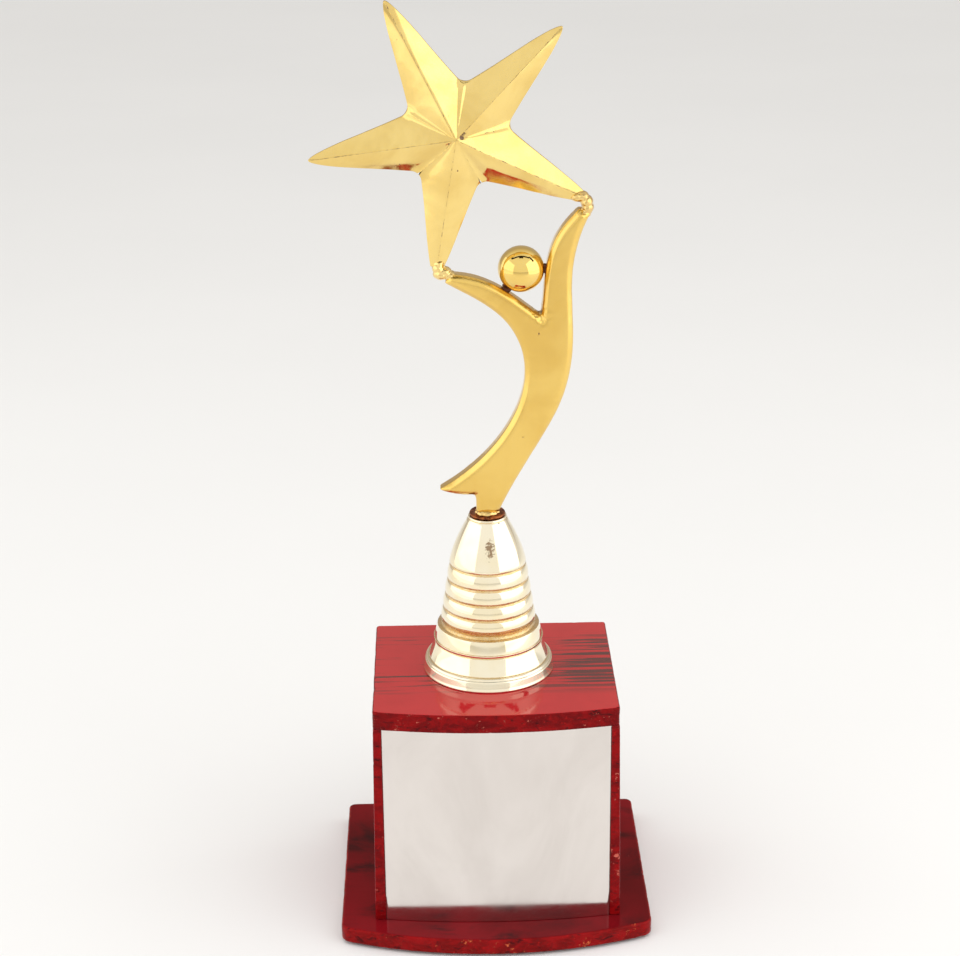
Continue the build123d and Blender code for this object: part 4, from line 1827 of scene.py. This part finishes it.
@dataclass
class SoftBox:
    """Soft light aimed at the trophy: bearing from the front, height angle, distance, size and brightness.

    A fill light isn't seen in polished metal.
    """

    name: str
    bearing: float
    height: float
    distance: float
    width: float
    tall: float
    bright: float
    seen: bool = True

    def make(self, aim: Vector) -> None:
        """Set the light up.

        Args:
            aim: Point in metres that the light faces.
        """
        turn, rise = math.radians(self.bearing), math.radians(self.height)
        way = Vector((math.sin(turn) * math.cos(rise), -math.cos(turn) * math.cos(rise), math.sin(rise)))
        lamp = bpy.data.lights.new(self.name, "AREA")
        lamp.shape = "RECTANGLE"
        lamp.size = self.width
        lamp.size_y = self.tall
        lamp.energy = self.bright * math.pi * self.width * self.tall
        holder = stand(self.name, lamp)
        holder.location = aim + way * self.distance
        holder.rotation_euler = way.to_track_quat("Z", "Y").to_euler()
        holder.visible_camera = False
        holder.visible_glossy = self.seen


@dataclass
class DarkCard:
    """Dark card over the trophy that only reflections show.

    Its offset from the ball and its size are in metres.
    """

    name: str
    offset: tuple[float, float, float]
    size: tuple[float, float, float]

    def make(self, ball: Vector) -> None:
        """Hang the card.

        Args:
            ball: Middle of the head ball in metres.
        """
        work = bmesh.new()
        bmesh.ops.create_cube(work, size=1.0, matrix=Matrix.Diagonal((*self.size, 1.0)))
        mesh = mesh_from(work, self.name)
        sheet = Sheet(self.name)
        cloth = sheet.noise(60.0, 3.0)
        colour = sheet.mix(cloth, (0.010, 0.006, 0.004), (0.030, 0.018, 0.012))
        sheet.surface(Base_Color=colour, Roughness=0.9)
        mesh.materials.append(sheet.material)
        card = stand(self.name, mesh)
        card.location = ball + Vector(self.offset)
        card.visible_camera = False
        card.visible_diffuse = False
        card.visible_shadow = False
        card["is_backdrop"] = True


@dataclass
class Studio:
    """Pale floor, soft light and the camera."""

    floor_size: float = 24.0
    floor_colour: Colour = (0.84, 0.84, 0.83)
    sky: float = 0.99
    sky_behind: float = 0.50
    sky_above: float = 0.90
    shade_colour: Colour = (1.0, 0.80, 0.58)
    camera_at: tuple[float, float, float] = (-0.01682, -0.71306, 0.43983)
    camera_forward: tuple[float, float, float] = (0.01722, 0.93214, -0.36168)
    camera_roll: float = -0.61
    lens: float = 82.26
    boxes: tuple[SoftBox, ...] = (
        SoftBox("left_soft_box", -80.0, 10.0, 0.75, 1.30, 0.90, 0.55),
        SoftBox("right_soft_box", 70.0, 14.0, 0.75, 1.16, 0.90, 0.85),
        SoftBox("overhead_fill", -10.0, 72.0, 1.3, 1.6, 1.6, 0.72, seen=False),
    )
    cards: tuple[DarkCard, ...] = (
        DarkCard("overhead_bar", (0.0, -0.20, 0.86), (1.20, 0.13, 0.03)),
        DarkCard("overhead_lamp", (0.0, -0.25, 0.84), (0.26, 0.24, 0.03)),
        DarkCard("left_drop", (-0.60, -0.10, 0.80), (0.10, 0.22, 0.14)),
        DarkCard("right_drop", (0.62, -0.12, 0.66), (0.09, 0.12, 0.50)),
    )

    def make(self) -> None:
        """Set the studio up."""
        low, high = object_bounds()
        for card in self.cards:
            card.make(centre_of(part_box("head_ball")))
        self.floor()
        self.sky_light()
        for box in self.boxes:
            box.make(Vector((0.0, 0.0, (low.z + high.z) * 0.6)))
        self.camera()

    def floor(self) -> None:
        """Lay the plain pale floor."""
        work = bmesh.new()
        bmesh.ops.create_grid(work, x_segments=8, y_segments=8, size=self.floor_size / 2)
        mesh = mesh_from(work, "floor")
        if mesh.polygons[0].normal.z < 0:
            mesh.flip_normals()
        sheet = Sheet("pale_floor")
        paper = sheet.noise(3.0, 3.0)
        pale = self.floor_colour
        colour = sheet.mix(sheet.between(paper, 0.3, 0.7), pale, tuple(level * 0.985 for level in pale))
        sheet.surface(Base_Color=colour, Roughness=0.85, Specular_IOR_Level=0.2)
        mesh.materials.append(sheet.material)
        floor = stand("floor", mesh)
        floor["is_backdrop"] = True

    def sky_light(self) -> None:
        """Even light from all round, dimmer behind the trophy."""
        world = bpy.data.worlds.new("studio")
        world.use_nodes = True
        bpy.context.scene.world = world
        sky = Nodes(world.node_tree, "Background", "Generated")
        axes = sky.node("ShaderNodeSeparateXYZ", {0: sky.place}).outputs
        level = sky.times(sky.between(axes[1], 0.15, 0.80, 1.0, self.sky_behind),
                          sky.between(axes[2], 0.75, 1.0, 1.0, self.sky_above))
        sky.surface(Color=sky.mix(level, self.shade_colour, (1.0, 1.0, 1.0)),
                    Strength=sky.times(level, self.sky))

    def camera(self) -> None:
        """Stand the camera in front and a little above."""
        forward = Vector(self.camera_forward).normalized()
        level = forward.cross(Vector((0.0, 0.0, 1.0))).normalized()
        up = level.cross(forward)
        turn = math.radians(self.camera_roll)
        right = level * math.cos(turn) + up * math.sin(turn)
        top = up * math.cos(turn) - level * math.sin(turn)
        lens = bpy.data.cameras.new("camera")
        lens.lens = self.lens
        lens.clip_start = 0.01
        holder = stand("camera", lens)
        rows = Matrix((right, top, -forward)).transposed()
        holder.matrix_world = Matrix.Translation(self.camera_at) @ rows.to_4x4()
        bpy.context.scene.camera = holder


def main() -> None:
    """Build the trophy and the studio."""
    logging.basicConfig(level=logging.INFO, format="%(name)s %(message)s")
    bpy.context.scene.view_settings.view_transform = "Standard"
    for maker in (Star(), Figure(), HeadBall(), Brazes(), Bell(), Washer(), Block(), Plate(), HiddenParts()):
        maker.make()
        log.info("%s done", type(maker).__name__)
    Studio().make()


if __name__ == "__main__":
    main()
